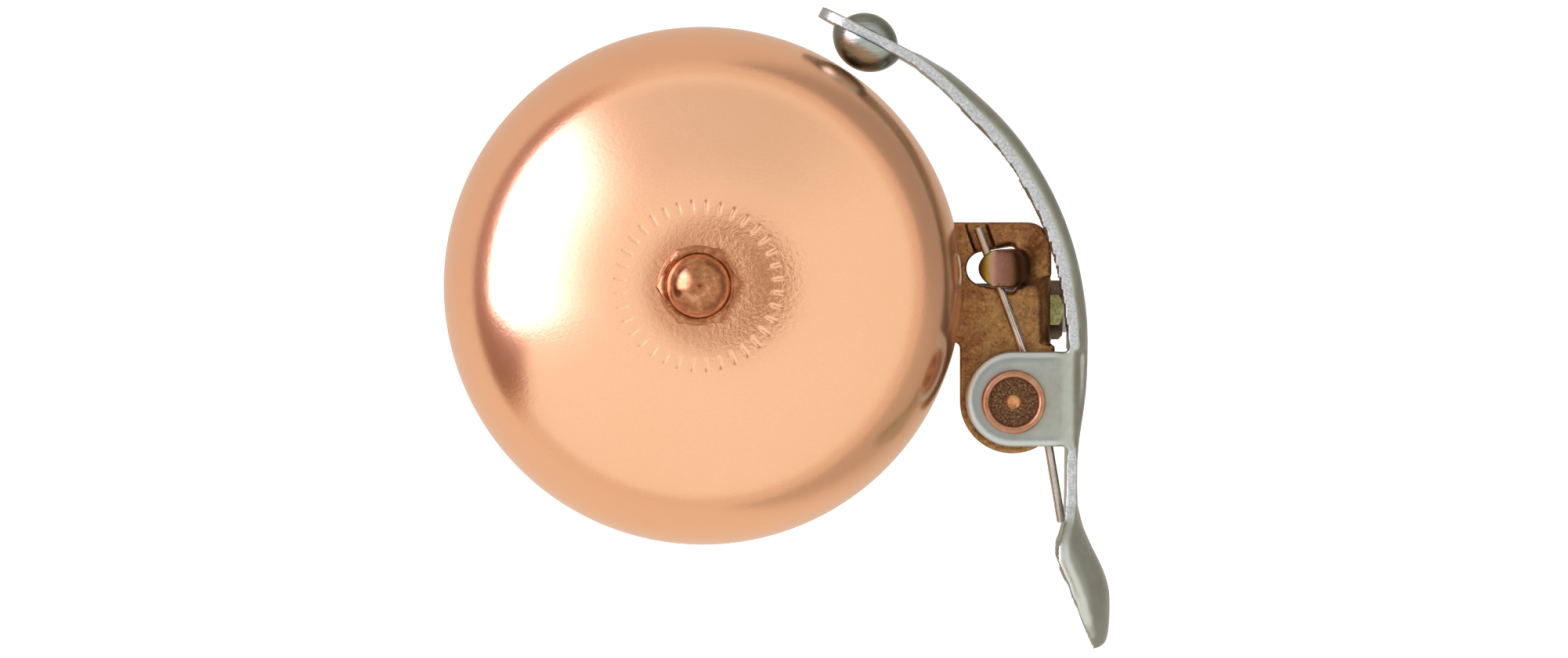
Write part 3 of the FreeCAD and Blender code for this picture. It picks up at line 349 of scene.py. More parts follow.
def bright_zinc():
    """Bright zinc lever: sheared upper edge, flat bluish ear and smooth-rolled paddle."""
    mat = Mat("bright_zinc")
    cloud = mat.noise(scale=170.0, detail=4.0, rough=0.55, distort=0.3)
    middle = mat.noise(scale=900.0, detail=4.0, rough=0.6)
    grain = mat.noise(scale=5200.0, detail=3.0, rough=0.65)
    color = mat.ramp(cloud, [
        (0.25, (0.450, 0.480, 0.405)), (0.5, (0.520, 0.545, 0.465)),
        (0.78, (0.535, 0.575, 0.535))])
    color = mat.stain(color, middle, [(0.35, 0.30), (0.60, 0.0)], color=(0.34, 0.36, 0.29))
    color = mat.stain(color, grain, [(0.60, 0.0), (0.80, 0.30)], color=(0.68, 0.71, 0.68))
    rough = mat.rough_over(cloud, base=(0.33, 0.42), fine=grain, ripple=(-0.04, 0.05))
    grain_height, middle_height, shear_height = 0.4, 0.5, 1.6
    height = mat.total(mat.product(grain, grain_height), mat.product(middle, middle_height))

    # where things are: the upward faces, the ear and the rough sheared edge outside the ear
    x, y = mat.xyz(mat.place)[:2]
    facing_up = mat.normal()[2]
    upward = mat.grey(facing_up, [(0.86, 0.0), (0.95, 1.0)])
    ear = mat.product(mat.math("LESS_THAN", x, 0.0150), mat.product(
        mat.math("LESS_THAN", y, -0.0043), mat.math("GREATER_THAN", y, -0.0149)))
    sheared = mat.product(upward, mat.invert(ear),
                          mat.map(y, of=(-0.0245, -0.0225), to=(0.12, 1.0)))

    # bluish ear face
    blue = mat.product(ear, upward, mat.map(x, of=(0.0020, 0.0115), to=(1.0, 0.15)))
    blue_strength = 0.55
    color = mat.mix(mat.product(blue, blue_strength), color, (0.385, 0.455, 0.465))

    # sheared edge
    shear = mat.noise(scale=4200.0, detail=5.0, rough=0.75, vector=mat.stretched((1.0, 1.0, 0.4)))
    pits = mat.noise(scale=1300.0, detail=3.0, rough=0.6)
    shear_color = mat.ramp(shear, [
        (0.32, (0.36, 0.38, 0.37)), (0.48, (0.52, 0.545, 0.53)), (0.66, (0.74, 0.765, 0.765))])
    shear_color = mat.stain(shear_color, pits, [(0.34, 0.35), (0.48, 0.0)],
                            color=(0.30, 0.32, 0.31))
    color = mat.mix(sheared, color, shear_color)

    # a painted highlight line and a painted shade line follow the ear's rolled outline; inset is
    # the distance in from it
    run = mat.math("MINIMUM", mat.math("SUBTRACT", x, PIVOT.x * MM), 0.0)
    rise = mat.math("SUBTRACT", y, EAR_Y * MM)
    inset = mat.math("SUBTRACT", EAR_RADIUS * MM, mat.length(run, rise))
    ear_side = mat.product(ear, mat.grey(facing_up, [(0.30, 0.0), (0.60, 1.0)]),
                           mat.map(x, of=(0.0102, 0.0116), to=(1.0, 0.0)))
    # width inwards in metres, grey stops across it, colour: first the painted highlight, then the
    # painted shade
    for width, stops, painted_edge_color in (
            (0.0012, [(0.0, 0.60), (0.36, 0.55), (0.56, 0.0)], (0.72, 0.75, 0.71)),
            (0.0020, [(0.30, 0.0), (0.40, 0.42), (0.46, 0.30), (0.66, 0.0)],
             (0.22, 0.26, 0.265))):
        line = mat.grey(mat.map(inset, of=(0.0, width), to=(0.0, 1.0)), stops)
        color = mat.mix(mat.product(ear_side, line), color, painted_edge_color)

    # shading bands by tilt, then the painted highlight on the paddle's rolled edge and the
    # painted shade in the crease beside it
    paddle = mat.map(y, of=(-0.0245, -0.0225), to=(1.0, 0.0))
    bands = mat.grey(facing_up, [
        (0.0, 0.74), (0.07, 0.88), (0.16, 1.0), (0.26, 0.93),
        (0.42, 0.80), (0.66, 0.84), (0.80, 0.95), (1.0, 0.95)])
    color = mat.mix(mat.invert(sheared), color, bands, blend="MULTIPLY")
    # painted highlight: upward faces along the paddle's rolled edge, which also gets a real
    # polish below
    rolled_polish_and_highlight = mat.product(paddle, mat.grey(facing_up, [(0.80, 0.0), (0.93, 1.0)]))
    rolled_highlight_strength, crease_shade_strength = 0.62, 0.45
    color = mat.mix(mat.product(rolled_polish_and_highlight, rolled_highlight_strength), color, (0.70, 0.72, 0.66))
    # painted shade: a dark band along the crease
    crease_shade = mat.product(paddle, mat.grey(facing_up, [
        (0.58, 0.0), (0.68, 1.0), (0.76, 1.0), (0.86, 0.0)]))
    color = mat.mix(mat.product(crease_shade, crease_shade_strength), color, (0.24, 0.26, 0.21))
    rolled_polish, shear_extra_rough = 0.10, 0.06
    rough = mat.math("SUBTRACT", rough, mat.product(rolled_polish_and_highlight, rolled_polish))
    rough = mat.total(rough, mat.product(sheared, shear_extra_rough))
    height = mat.total(mat.product(height, mat.invert(sheared)),
                       mat.product(shear, shear_height, sheared))
    return mat.done(color, rough, mat.bump(height, strength=0.35, distance=0.00006))


def ball_zinc():
    """Turned zinc: fine marks run one way across the ball, and painted shade darkens its sides.
    """
    mat = Mat("ball_zinc")
    along = mat.stretched((1.0, 9.0, 1.0), turn=math.radians(27.0))
    marks = mat.noise(scale=520.0, detail=4.0, rough=0.7, vector=along)
    cloud = mat.noise(scale=420.0, detail=3.0, rough=0.55)
    grain = mat.noise(scale=5200.0, detail=3.0, rough=0.65)
    color = mat.ramp(marks, [
        (0.30, (0.27, 0.31, 0.29)), (0.50, (0.38, 0.43, 0.41)), (0.70, (0.52, 0.57, 0.56))])
    color = mat.stain(color, cloud, [(0.40, 0.0), (0.70, 0.40)], color=(0.40, 0.41, 0.31))
    # painted shade: darker where the surface turns away from straight up
    side = mat.map(mat.normal()[2], of=(0.90, 0.45), to=(0.0, 0.82))
    color = mat.mix(side, color, (0.115, 0.135, 0.095))
    rough = mat.total(mat.map(marks, of=(0.3, 0.7), to=(0.20, 0.30)),
                      mat.map(grain, of=(0.3, 0.7), to=(-0.03, 0.04)))
    grain_height = 0.3
    height = mat.total(marks, mat.product(grain, grain_height))
    return mat.done(color, rough, mat.bump(height, strength=0.30, distance=0.00006))


def rivet_copper():
    """Pivot rivet: a copper ring round a dark, rough cup with a bright core."""
    mat = Mat("rivet_copper")
    radius = mat.radius_from(PIVOT.x, PIVOT.y)
    facing_up = mat.normal()[2]
    grain = mat.noise(scale=4200.0, detail=4.0, rough=0.7)
    cloud = mat.noise(scale=700.0, detail=3.0, rough=0.55)
    ring = mat.ramp(cloud, [
        (0.28, (0.38, 0.170, 0.090)), (0.55, (0.50, 0.255, 0.155)), (0.8, (0.60, 0.36, 0.21))])
    ring = mat.stain(ring, grain, [(0.30, 0.45), (0.48, 0.0)], color=(0.42, 0.18, 0.08))
    dark = mat.ramp(grain, [
        (0.36, (0.050, 0.024, 0.012)), (0.50, (0.135, 0.068, 0.035)),
        (0.60, (0.23, 0.125, 0.06)), (0.72, (0.62, 0.42, 0.22))])
    bright = mat.ramp(mat.noise(scale=1800.0, detail=4.0, rough=0.6), [
        (0.3, (0.36, 0.15, 0.055)), (0.5, (0.66, 0.33, 0.13)), (0.7, (0.92, 0.62, 0.32))])
    cup_radius = 0.00262
    inside = mat.math("LESS_THAN", radius, cup_radius)
    upward = mat.math("GREATER_THAN", facing_up, 0.35)
    cup = mat.product(inside, upward)
    color = mat.mix(cup, ring, dark)
    core = mat.grey(mat.map(radius, of=(0.00070, 0.00098), to=(1.0, 0.0)),
                    [(0.0, 0.0), (1.0, 1.0)])
    color = mat.mix(mat.product(core, upward), color, bright)
    ring_rough, cup_extra_rough = 0.30, 0.22
    rough = mat.total(ring_rough, mat.product(cup, cup_extra_rough))
    ring_height, cup_extra_height = 0.35, 1.6
    height = mat.product(grain, mat.total(ring_height, mat.product(cup, cup_extra_height)))
    return mat.done(color, rough, mat.bump(height, strength=0.40, distance=0.00008))


def spring_wire():
    mat = Mat("spring_wire")
    cloud = mat.noise(scale=420.0, detail=3.0, rough=0.55)
    grain = mat.noise(scale=3800.0, detail=2.0, rough=0.6)
    color = mat.ramp(cloud, [
        (0.30, (0.42, 0.38, 0.31)), (0.52, (0.54, 0.50, 0.43)), (0.72, (0.64, 0.57, 0.49))])
    blush = mat.noise(scale=260.0, detail=2.0, rough=0.5)
    color = mat.stain(color, blush, [(0.45, 0.0), (0.70, 0.40)], color=(0.55, 0.40, 0.33))
    color = mat.stain(color, grain, [(0.34, 0.25), (0.48, 0.0)], color=(0.30, 0.26, 0.20))
    rough = mat.map(grain, of=(0.2, 0.8), to=(0.18, 0.28))
    grain_height = 0.3
    height = mat.total(cloud, mat.product(grain, grain_height))
    return mat.done(color, rough, mat.bump(height, strength=0.20, distance=0.00004))


def plain_steel():
    mat = Mat("plain_steel")
    base = (0.60, 0.60, 0.585)
    dark, light, speck = (tuple(c * gain for c in base) for gain in (0.72, 1.15, 0.5))
    cloud = mat.noise(scale=240.0, detail=4.0, rough=0.6, distort=0.3)
    grain = mat.noise(scale=4600.0, detail=3.0, rough=0.65)
    color = mat.ramp(cloud, [(0.28, dark), (0.52, base), (0.78, light)])
    color = mat.stain(color, grain, [(0.32, 0.35), (0.50, 0.0)], color=speck)
    rough = mat.rough_over(cloud, base=(0.28, 0.42), fine=grain, ripple=(-0.04, 0.06))
    return mat.done(color, rough, mat.bump(grain, strength=0.25, distance=0.00005))


def liner_rubber():
    mat = Mat("liner_rubber")
    grain = mat.noise(scale=2600.0, detail=4.0, rough=0.65)
    cloud = mat.noise(scale=180.0, detail=3.0, rough=0.5)
    color = mat.ramp(cloud, [(0.3, (0.018, 0.018, 0.018)), (0.7, (0.035, 0.034, 0.033))])
    rough = mat.map(grain, of=(0.2, 0.8), to=(0.62, 0.85))
    return mat.done(color, rough, mat.bump(grain, strength=0.5, distance=0.00012), metal=0.0)


def fibre():
    mat = Mat("fibre")
    grain = mat.noise(scale=2200.0, detail=4.0, rough=0.7, vector=mat.stretched((1.0, 1.0, 5.0)))
    color = mat.ramp(grain, [(0.3, (0.15, 0.075, 0.045)), (0.7, (0.28, 0.16, 0.10))])
    rough = mat.map(grain, of=(0.2, 0.8), to=(0.6, 0.8))
    return mat.done(color, rough, mat.bump(grain, strength=0.5, distance=0.0001), metal=0.0)


# material slot: material, in the order they are made
MATERIALS = {
    "nut_zinc": nut_zinc(),
    "satin_copper": satin_copper(),
    "nut_copper": nut_copper(),
    "yellow_zinc": yellow_zinc(),
    "bright_zinc": bright_zinc(),
    "ball_zinc": ball_zinc(),
    "rivet_copper": rivet_copper(),
    "spring_steel": spring_wire(),
    "plain_steel": plain_steel(),
    "liner_rubber": liner_rubber(),
    "fibre": fibre(),
}
# pieces whose finish differs from their slot
SPECIAL_FINISH = {
    "striker_ball": "ball_zinc", "striker_rivet": "ball_zinc", "clamp_nut": "nut_zinc"}
for name, piece in NODES.items():
    finish = SPECIAL_FINISH.get(name, SLOT_OF.get(name, "plain_steel"))
    piece.data.materials.clear()
    piece.data.materials.append(MATERIALS[finish])


# --------------------------------------------------------------- mesh helpers
def face_outwards(mesh, weld=None):
    """Turn all normals outwards, after welding vertices closer than `weld` metres."""
    work = bmesh.new()
    work.from_mesh(mesh)
    if weld:
        bmesh.ops.remove_doubles(work, verts=work.verts, dist=weld)
    bmesh.ops.recalc_face_normals(work, faces=work.faces)
    work.to_mesh(mesh)
    work.free()


def mesh_object(name, verts, faces, material, sharp_deg):
    """A smooth-shaded object from vertices in millimetres."""
    mesh = bpy.data.meshes.new(name)
    mesh.from_pydata([(x * MM, y * MM, z * MM) for x, y, z in verts], [], faces)
    mesh.validate()
    mesh.polygons.foreach_set("use_smooth", [True] * len(mesh.polygons))
    mesh.set_sharp_from_angle(angle=math.radians(sharp_deg))
    mesh.materials.append(MATERIALS[material])
    skin = bpy.data.objects.new(name, mesh)
    COLLECTION.objects.link(skin)
    face_outwards(mesh)
    return skin


def stand_in(skin, node, body):
    """The skin rides on a body and takes the place of a CAD node."""
    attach(skin, body)
    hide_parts(node)


def angles(count):
    return [TURN * k / count for k in range(count)]


def ring_faces(rings, count, closed):
    """Quads between successive rings; closed also joins the last ring to the first."""
    faces = []
    for i in range(rings if closed else rings - 1):
        j = (i + 1) % rings
        for k in range(count):
            n = (k + 1) % count
            faces.append((i * count + k, i * count + n, j * count + n, j * count + k))
    return faces


# ------------------------------------------------------------------ the dome
DOME_RADIUS = DOME_WIDTH / 2 / MM
SHEET = 1.0              # sheet thickness
SKIRT = 3.5              # height of the straight skirt
RIM_START = 0.5          # height where the outer skirt begins
RIM_ROUND = 0.32         # depth of the eased rim edge
KNUCKLE = 15.0           # radius of the arc above the skirt
CROWN = 34.0             # radius of the shallow arc on top
FLAT = 5.0               # radius of the flat round the hole
DOME_SEGMENTS = 540
# stamped strokes in a ring round the nut
STROKES = 36
STROKE_RADIUS = 8.25
STROKE_DEPTH = 0.045
STROKE_HALF_WIDTH, WIDTH_FADE = 0.27, 0.20
STROKE_HALF_LENGTH, LENGTH_FADE = 0.66, 0.22


def dome_outline(skirt_steps=6, knuckle_steps=44, crown_steps=64):
    """Outer (radius, height) points from the rim to the flat round the hole."""
    points = [(DOME_RADIUS, RIM_Z + RIM_START + (SKIRT - RIM_START) * k / skirt_steps)
              for k in range(skirt_steps)]
    knuckle_r, knuckle_z = DOME_RADIUS - KNUCKLE, RIM_Z + SKIRT
    meet = math.asin((knuckle_r - FLAT) / (CROWN - KNUCKLE))     # where the two arcs meet
    crown_z = knuckle_z - (CROWN - KNUCKLE) * math.cos(meet)
    for k in range(knuckle_steps):
        a = math.pi / 2 - (math.pi / 2 - meet) * k / knuckle_steps
        points.append((knuckle_r + KNUCKLE * math.sin(a), knuckle_z + KNUCKLE * math.cos(a)))
    for k in range(crown_steps + 1):
        a = meet * (1 - k / crown_steps)
        points.append((FLAT + CROWN * math.sin(a), crown_z + CROWN * math.cos(a)))
    top = points[-1][1]
    return points + [(4.4, top), (3.2, top)]


def offset_in(points, distance):
    """The profile moved inwards along its normal."""
    moved = []
    for i, (radius, z) in enumerate(points):
        radius_before, z_before = points[max(0, i - 1)]
        radius_after, z_after = points[min(len(points) - 1, i + 1)]
        run, rise = radius_after - radius_before, z_after - z_before
        length = math.hypot(run, rise) or 1.0
        moved.append((radius - distance * rise / length, z + distance * run / length))
    return moved


def stroke_offset(radius, z, a):
    """Height change of the outer surface where a stroke is stamped, else 0."""
    on_top = z > TOP_Z - 3.0 and z > RIM_Z + 17.5
    if not (on_top and 6.4 < radius < 10.0):
        return 0.0
    phase = ((a * STROKES / TURN) % 1.0) - 0.5
    arc = abs(phase) * 2 * math.pi / STROKES * radius
    across = max(0.0, min(1.0, (STROKE_HALF_WIDTH - arc) / WIDTH_FADE))
    across = across * across * (3 - 2 * across)
    off_ring = abs(radius - STROKE_RADIUS)
    along = max(0.0, min(1.0, (STROKE_HALF_LENGTH - off_ring) / LENGTH_FADE))
    return -STROKE_DEPTH * across * along


def build_dome():
    outer = dome_outline()
    inner = offset_in(outer[::2], SHEET)
    # (radius, drop below the top) down the hole, its edges eased
    hole = [(radius, TOP_Z - drop) for radius, drop in (
        (2.45, 0.0), (2.25, 0.04), (2.17, 0.14), (2.15, 0.5), (2.17, 0.9), (2.3, SHEET))]
    rim = []
    for k in range(1, 8):
        a = math.pi * k / 8
        rim.append((DOME_RADIUS - SHEET / 2 - (SHEET / 2) * math.cos(a),
                    RIM_Z + RIM_ROUND - RIM_ROUND * math.sin(a) ** 0.7))
    profile = outer + hole + inner[::-1] + rim
    verts = [(DOME.x + radius * math.cos(a), DOME.y + radius * math.sin(a),
              z + stroke_offset(radius, z, a))
             for radius, z in profile for a in angles(DOME_SEGMENTS)]
    faces = ring_faces(len(profile), DOME_SEGMENTS, closed=True)
    stand_in(mesh_object("dome_shell", verts, faces, "satin_copper", 50), "bell_dome", "base")


build_dome()

# --------------------------------------------------------------- the cap nut
NUT_HALF = 7.72 / 2      # half the width across flats
NUT_TURN = 1             # degrees the hexagon is turned
HEX_HEIGHT = 3.6
CAP_RADIUS = 3.25
BORE = 2.06
BORE_MOUTH = 2.20
NUT_SEGMENTS = 360
NUT_BEVEL = 0.09         # width of the eased edge above the flats


def hex_radius(a):
    from_flat = (a - math.radians(NUT_TURN)) % (math.pi / 3) - math.pi / 6
    return NUT_HALF / math.cos(from_flat)


def nut_profile(side, base, top):
    """(radius, height) points from the bore round to the cap, for the hexagon radius `side`."""
    hex_top = base + HEX_HEIGHT

    def top_cone(radius):
        return hex_top - max(0.0, radius - NUT_HALF + 0.05) * math.tan(math.radians(30))

    def low_cone(radius):
        return base + max(0.0, radius - NUT_HALF + 0.05) * math.tan(math.radians(25))

    # bore and chamfered under face
    points = [(BORE, base + 4.9), (BORE, base + 2.5), (BORE, base + 0.15), (BORE_MOUTH, base)]
    for f in (0.3, 0.7, 0.94):
        radius = BORE_MOUTH + (side - BORE_MOUTH) * f
        points.append((radius, low_cone(radius)))
    # flats
    low, high = low_cone(side), top_cone(side)
    points += [(side - 0.04, low + 0.01), (side, low + 0.07)]
    points += [(side, low + (high - low) * f) for f in (0.33, 0.66)]
    points += [(side, high - 0.10), (side - 0.02, high - 0.035),
               (side - NUT_BEVEL, top_cone(side - NUT_BEVEL))]
    # chamfered top
    groove = CAP_RADIUS + 0.12
    for f in (0.75, 0.5, 0.25):
        radius = groove + (side - NUT_BEVEL - groove) * f
        points.append((radius, top_cone(radius)))
    # turned groove where the cap starts: (offset from the cap radius, from the hexagon's top)
    points += [(CAP_RADIUS + out, hex_top + up) for out, up in (
        (0.12, -0.03), (0.03, -0.16), (-0.10, -0.18), (-0.14, -0.05), (-0.06, 0.10),
        (-0.01, 0.25))]
    # domed cap
    cap_base = max(top - CAP_RADIUS, hex_top + 0.3)
    for k in range(30):
        a = math.pi / 2 * k / 30
        points.append((CAP_RADIUS * math.cos(a), cap_base + (top - cap_base) * math.sin(a)))
    return points


def build_cap_nut():
    centre = centre_mm("cap_nut")
    base, top = heights_mm("cap_nut")
    around = angles(NUT_SEGMENTS)
    rings = list(zip(*(nut_profile(hex_radius(a), base, top) for a in around)))
    verts = [(centre.x + radius * math.cos(a), centre.y + radius * math.sin(a), z)
             for ring in rings for a, (radius, z) in zip(around, ring)]
    faces = ring_faces(len(rings), NUT_SEGMENTS, closed=False)
    # close the cap and the blind end of the bore with fans
    cap_tip = len(verts)
    bore_end = cap_tip + 1
    verts += [(centre.x, centre.y, top), (centre.x, centre.y, base + 5.2)]
    last = (len(rings) - 1) * NUT_SEGMENTS
    for k in range(NUT_SEGMENTS):
        n = (k + 1) % NUT_SEGMENTS
        faces += [(last + k, last + n, cap_tip), (n, k, bore_end)]
    nut = mesh_object("cap_nut_turned", verts, faces, "nut_copper", 32)
    # mark the creases on the final normals
    nut.data.set_sharp_from_angle(angle=math.radians(32))
    stand_in(nut, "cap_nut", "base")


build_cap_nut()


def build_cap_washer():
    """Plain washer under the cap nut, sitting a little off centre in its clearance."""
    centre = centre_mm("cap_washer")
    base, top = heights_mm("cap_washer")
    x, y = centre.x - 0.14, centre.y + 0.04
    outer, inner, segments = 4.17, 2.3, 160
    profile = [
        (inner, base + 0.08), (inner + 0.08, base), (outer - 0.10, base), (outer, base + 0.10),
        (outer, top - 0.16), (outer - 0.05, top - 0.05), (outer - 0.16, top),
        (inner + 0.08, top), (inner, top - 0.08)]
    verts = [(x + radius * math.cos(a), y + radius * math.sin(a), z)
             for radius, z in profile for a in angles(segments)]
    faces = ring_faces(len(profile), segments, closed=True)
    stand_in(mesh_object("cap_washer_turned", verts, faces, "nut_copper", 35),
             "cap_washer", "base")


build_cap_washer()


# ------------------------------------------- pressed plates and strips, eased
def refine(node, name, body, voxel):
    """A finer copy of a CAD node, remeshed and smoothed so that its edges are rounded."""
    source = NODES[node]
    skin = bpy.data.objects.new(name, source.data.copy())
    COLLECTION.objects.link(skin)
    face_outwards(skin.data, weld=1e-6)
    remesh = skin.modifiers.new("remesh", "REMESH")
    remesh.mode = "VOXEL"
    remesh.voxel_size = voxel * MM
    remesh.use_smooth_shade = True
    ease = skin.modifiers.new("ease", "SMOOTH")
    ease.factor = 0.5
    ease.iterations = 5
    bpy.context.view_layer.update()
    depsgraph = bpy.context.evaluated_depsgraph_get()
    mesh = bpy.data.meshes.new_from_object(skin.evaluated_get(depsgraph))
    skin.modifiers.clear()
    skin.data = mesh
    mesh.name = name
    mesh.materials.clear()
    mesh.materials.append(source.data.materials[0])
    mesh.polygons.foreach_set("use_smooth", [True] * len(mesh.polygons))
    stand_in(skin, node, body)
    return skin


def read_points(mesh):
    points = np.empty(len(mesh.vertices) * 3)
    mesh.vertices.foreach_get("co", points)
    return points.reshape(-1, 3)


def write_points(mesh, points):
    mesh.vertices.foreach_set("co", points.ravel())
    mesh.update()


def reshape(skin, move):
    """Pass the vertices through `move`, which takes and gives an (n, 3) array in mm."""
    write_points(skin.data, move(read_points(skin.data) / MM) * MM)


def ease_region(skin, low, high, margin, rounds):
    """Smooth the vertices inside a box in mm, fading over the margin; None is unbounded."""
    mesh = skin.data
    points = read_points(mesh)
    count = len(points)
    edges = np.empty(len(mesh.edges) * 2, dtype=np.int64)
    mesh.edges.foreach_get("vertices", edges)
    edges = edges.reshape(-1, 2)
    start = points / MM
    weight = np.ones(count)
    for k in range(3):
        if low[k] is not None:
            weight *= np.clip((start[:, k] - low[k]) / margin, 0, 1)
        if high[k] is not None:
            weight *= np.clip((high[k] - start[:, k]) / margin, 0, 1)
    neighbours = np.bincount(edges.ravel(), minlength=count)[:, None]
    weight = (weight * 0.5)[:, None]
    for _ in range(rounds):
        sums = np.zeros_like(points)
        np.add.at(sums, edges[:, 0], points[edges[:, 1]])
        np.add.at(sums, edges[:, 1], points[edges[:, 0]])
        points += weight * (sums / np.maximum(neighbours, 1) - points)
    write_points(mesh, points)


def louvre(points):
    """The bracket's lug widens towards +X, closes in a round shoulder and dips at its -X end."""
    lug_y, lug_z = 4.45, 17.78
    x, y, z = points.T
    lug = np.clip((z - lug_z) / 0.5, 0, 1) * (np.abs(y - lug_y) < 3.0) * (x > 1.5) * (x < 9.0)
    widening = 1.0 + 0.20 * np.clip((x - 2.6) / 1.2, 0, 1)
    shoulder = np.sqrt(np.clip(1.0 - (np.clip(x - 5.3, 0, 2.6) / 2.65) ** 2, 0.05, 1))
    width = 1 + lug * (widening * shoulder - 1)
    dip = 0.34 * np.clip(3.5 - x, 0, 1.4) ** 2
    crown = 0.10 * ((y - lug_y) / 2.4) ** 2
    return np.stack([x, lug_y + (y - lug_y) * width, z - lug * (dip + crown)], 1)


def roll_over(points):
    """Blanking leaves a soft roll-over along the outline of the upper ear."""
    depth, reach = 0.26, 0.85
    x, y, z = points.T
    from_round = EAR_RADIUS - np.hypot(x - PIVOT.x, y - EAR_Y)
    from_side = EAR_RADIUS - np.abs(y - EAR_Y)
    inset = np.where(x < PIVOT.x, from_round, from_side)
    ear = (z > 21.2) * (z < 22.3) * (x < 12.6) * (np.abs(y - EAR_Y) < 5.3)
    edge = np.clip(1 - inset / reach, 0, 1)
    fade = np.clip((12.4 - x) / 2.0, 0, 1)
    return np.stack([x, y, z - ear * fade * depth * edge * edge], 1)


def full_tip(points):
    """The paddle's free end, at -Y, is a full, slightly bowed edge."""
    bow, reach = 0.55, 4.0
    x, y, z = points.T
    tip_y = y.min()
    end = y < tip_y + 6.0
    low, high = z[end].min(), z[end].max()
    across = (z - (low + high) / 2) / ((high - low) / 2)
    near = np.clip((tip_y + reach - y) / reach, 0, 1) ** 2
    return np.stack([x, y - near * bow * (0.55 - np.clip(across * across, 0, 1)), z], 1)


plate = refine("bracket", "bracket_pressed", "base", voxel=0.16)
reshape(plate, louvre)
# the lug stands up from the plate in a soft louvre
ease_region(plate, (4.2, 1.0, 16.6), (9.6, 8.4, None), margin=0.9, rounds=60)

# low corner, high corner, margin, rounds
LEVER_EASING = (
    # the lower ear leaves the web in an eased corner
    ((10.4, -16.4, None), (None, -3.0, 13.6), 0.7, 24),
    # the paddle is rolled smooth along both edges
    ((None, None, None), (None, -21.5, None), 2.0, 40),
    # the strip runs softly into the bend of the upper ear
    ((10.6, -15.8, 17.0), (None, -3.2, None), 0.8, 40),
)
lever_skin = refine("striker_lever", "lever_pressed", "lever", voxel=0.15)
reshape(lever_skin, roll_over)
reshape(lever_skin, full_tip)
for region in LEVER_EASING:
    ease_region(lever_skin, *region)

refine("clamp_strap", "strap_pressed", "base", voxel=0.18)

# ---------------------------------------------------------------- the spring
WIRE_RADIUS = 0.47
COIL_RADIUS = 2.96
COIL_PITCH = 0.98
COIL_BASE = 18.22                # height of the wire's centre where the coil starts
BRACKET_END = (2.3, 8.8)         # where the straight legs end
LEVER_END = (11.22, -22.6)
LEVER_END_Z = 18.2
BRACKET_END_DROP = 0.25          # the bracket end lies this far below the coil's start
LEG_STEPS, COIL_STEPS, WIRE_SEGMENTS = 40, 220, 24
# cut end with an eased corner: (distance in from the end, share of the wire radius)
CUT_END = ((0.0, 0.0), (0.0, 0.55), (0.0, 0.80), (0.05, 0.94), (0.13, 1.0))


def tangent_angle(end, side):
    """Angle on the coil where a straight leg to `end` touches it, on side -1 or +1."""
    run, rise = end[0] - PIVOT.x, end[1] - PIVOT.y
    return math.atan2(rise, run) + side * math.acos(COIL_RADIUS / math.hypot(run, rise))


def on_coil(a):
    return PIVOT.x + COIL_RADIUS * math.cos(a), PIVOT.y + COIL_RADIUS * math.sin(a)


def spring_path():
    """Centre line: the leg on the bracket, over two turns of coil, the leg to the lever."""
    start, end = tangent_angle(BRACKET_END, -1), tangent_angle(LEVER_END, 1)
    sweep = 4 * math.pi + (start - end) % TURN
    coil_top = COIL_BASE + COIL_PITCH * sweep / TURN
    path = []
    x, y = on_coil(start)
    for k in range(LEG_STEPS):
        f = k / LEG_STEPS
        path.append((BRACKET_END[0] + (x - BRACKET_END[0]) * f,
                     BRACKET_END[1] + (y - BRACKET_END[1]) * f,
                     COIL_BASE - BRACKET_END_DROP + BRACKET_END_DROP * min(1.0, f / 0.35)))
    for k in range(COIL_STEPS + 1):
        path.append((*on_coil(start - sweep * k / COIL_STEPS),
                     COIL_BASE + (coil_top - COIL_BASE) * k / COIL_STEPS))
    x, y = on_coil(end)
    for k in range(1, LEG_STEPS + 1):
        f = k / LEG_STEPS
        path.append((x + (LEVER_END[0] - x) * f, y + (LEVER_END[1] - y) * f,
                     coil_top + (LEVER_END_Z - coil_top) * f ** 1.3))
    path = np.array(path)
    for _ in range(6):
        path[1:-1] = 0.5 * path[1:-1] + 0.25 * (path[:-2] + path[2:])
    return path


def build_spring():
    path = spring_path()
    along = np.gradient(path, axis=0)
    along /= np.linalg.norm(along, axis=1)[:, None]
    # stations: centre, direction, share of the wire radius
    stations = [(path[0] + along[0] * inset, along[0], share) for inset, share in CUT_END]
    stations += [(point, way, 1.0) for point, way in zip(path[1:-1], along[1:-1])]
    stations += [(path[-1] - along[-1] * inset, along[-1], share)
                 for inset, share in reversed(CUT_END)]
    up = np.array([0.0, 0.0, 1.0])
    verts, rings = [], []
    for point, way, share in stations:
        first = len(verts)
        if share == 0.0:
            verts.append(tuple(point))
        else:
            rise = up - way * np.dot(up, way)
            rise /= np.linalg.norm(rise)
            side = np.cross(way, rise)
            for a in angles(WIRE_SEGMENTS):
                offset = math.cos(a) * rise + math.sin(a) * side
                verts.append(tuple(point + WIRE_RADIUS * share * offset))
        rings.append(range(first, len(verts)))
    faces = []
    for ring, after in zip(rings, rings[1:]):
        for k in range(WIRE_SEGMENTS):
            n = (k + 1) % WIRE_SEGMENTS
            if len(ring) == 1:
                faces.append((ring[0], after[n], after[k]))
            elif len(after) == 1:
                faces.append((ring[k], ring[n], after[0]))
            else:
                faces.append((ring[k], ring[n], after[n], after[k]))
    spring = mesh_object("spring_wire_coil", verts, faces, "spring_steel", 40)
    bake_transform(spring)
    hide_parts("return_spring")


build_spring()

# ------------------------------------------------------------------ the floor
FLOOR_HALF = 0.7
FLOOR_GAP = 0.0004       # the floor lies this far below the lowest piece


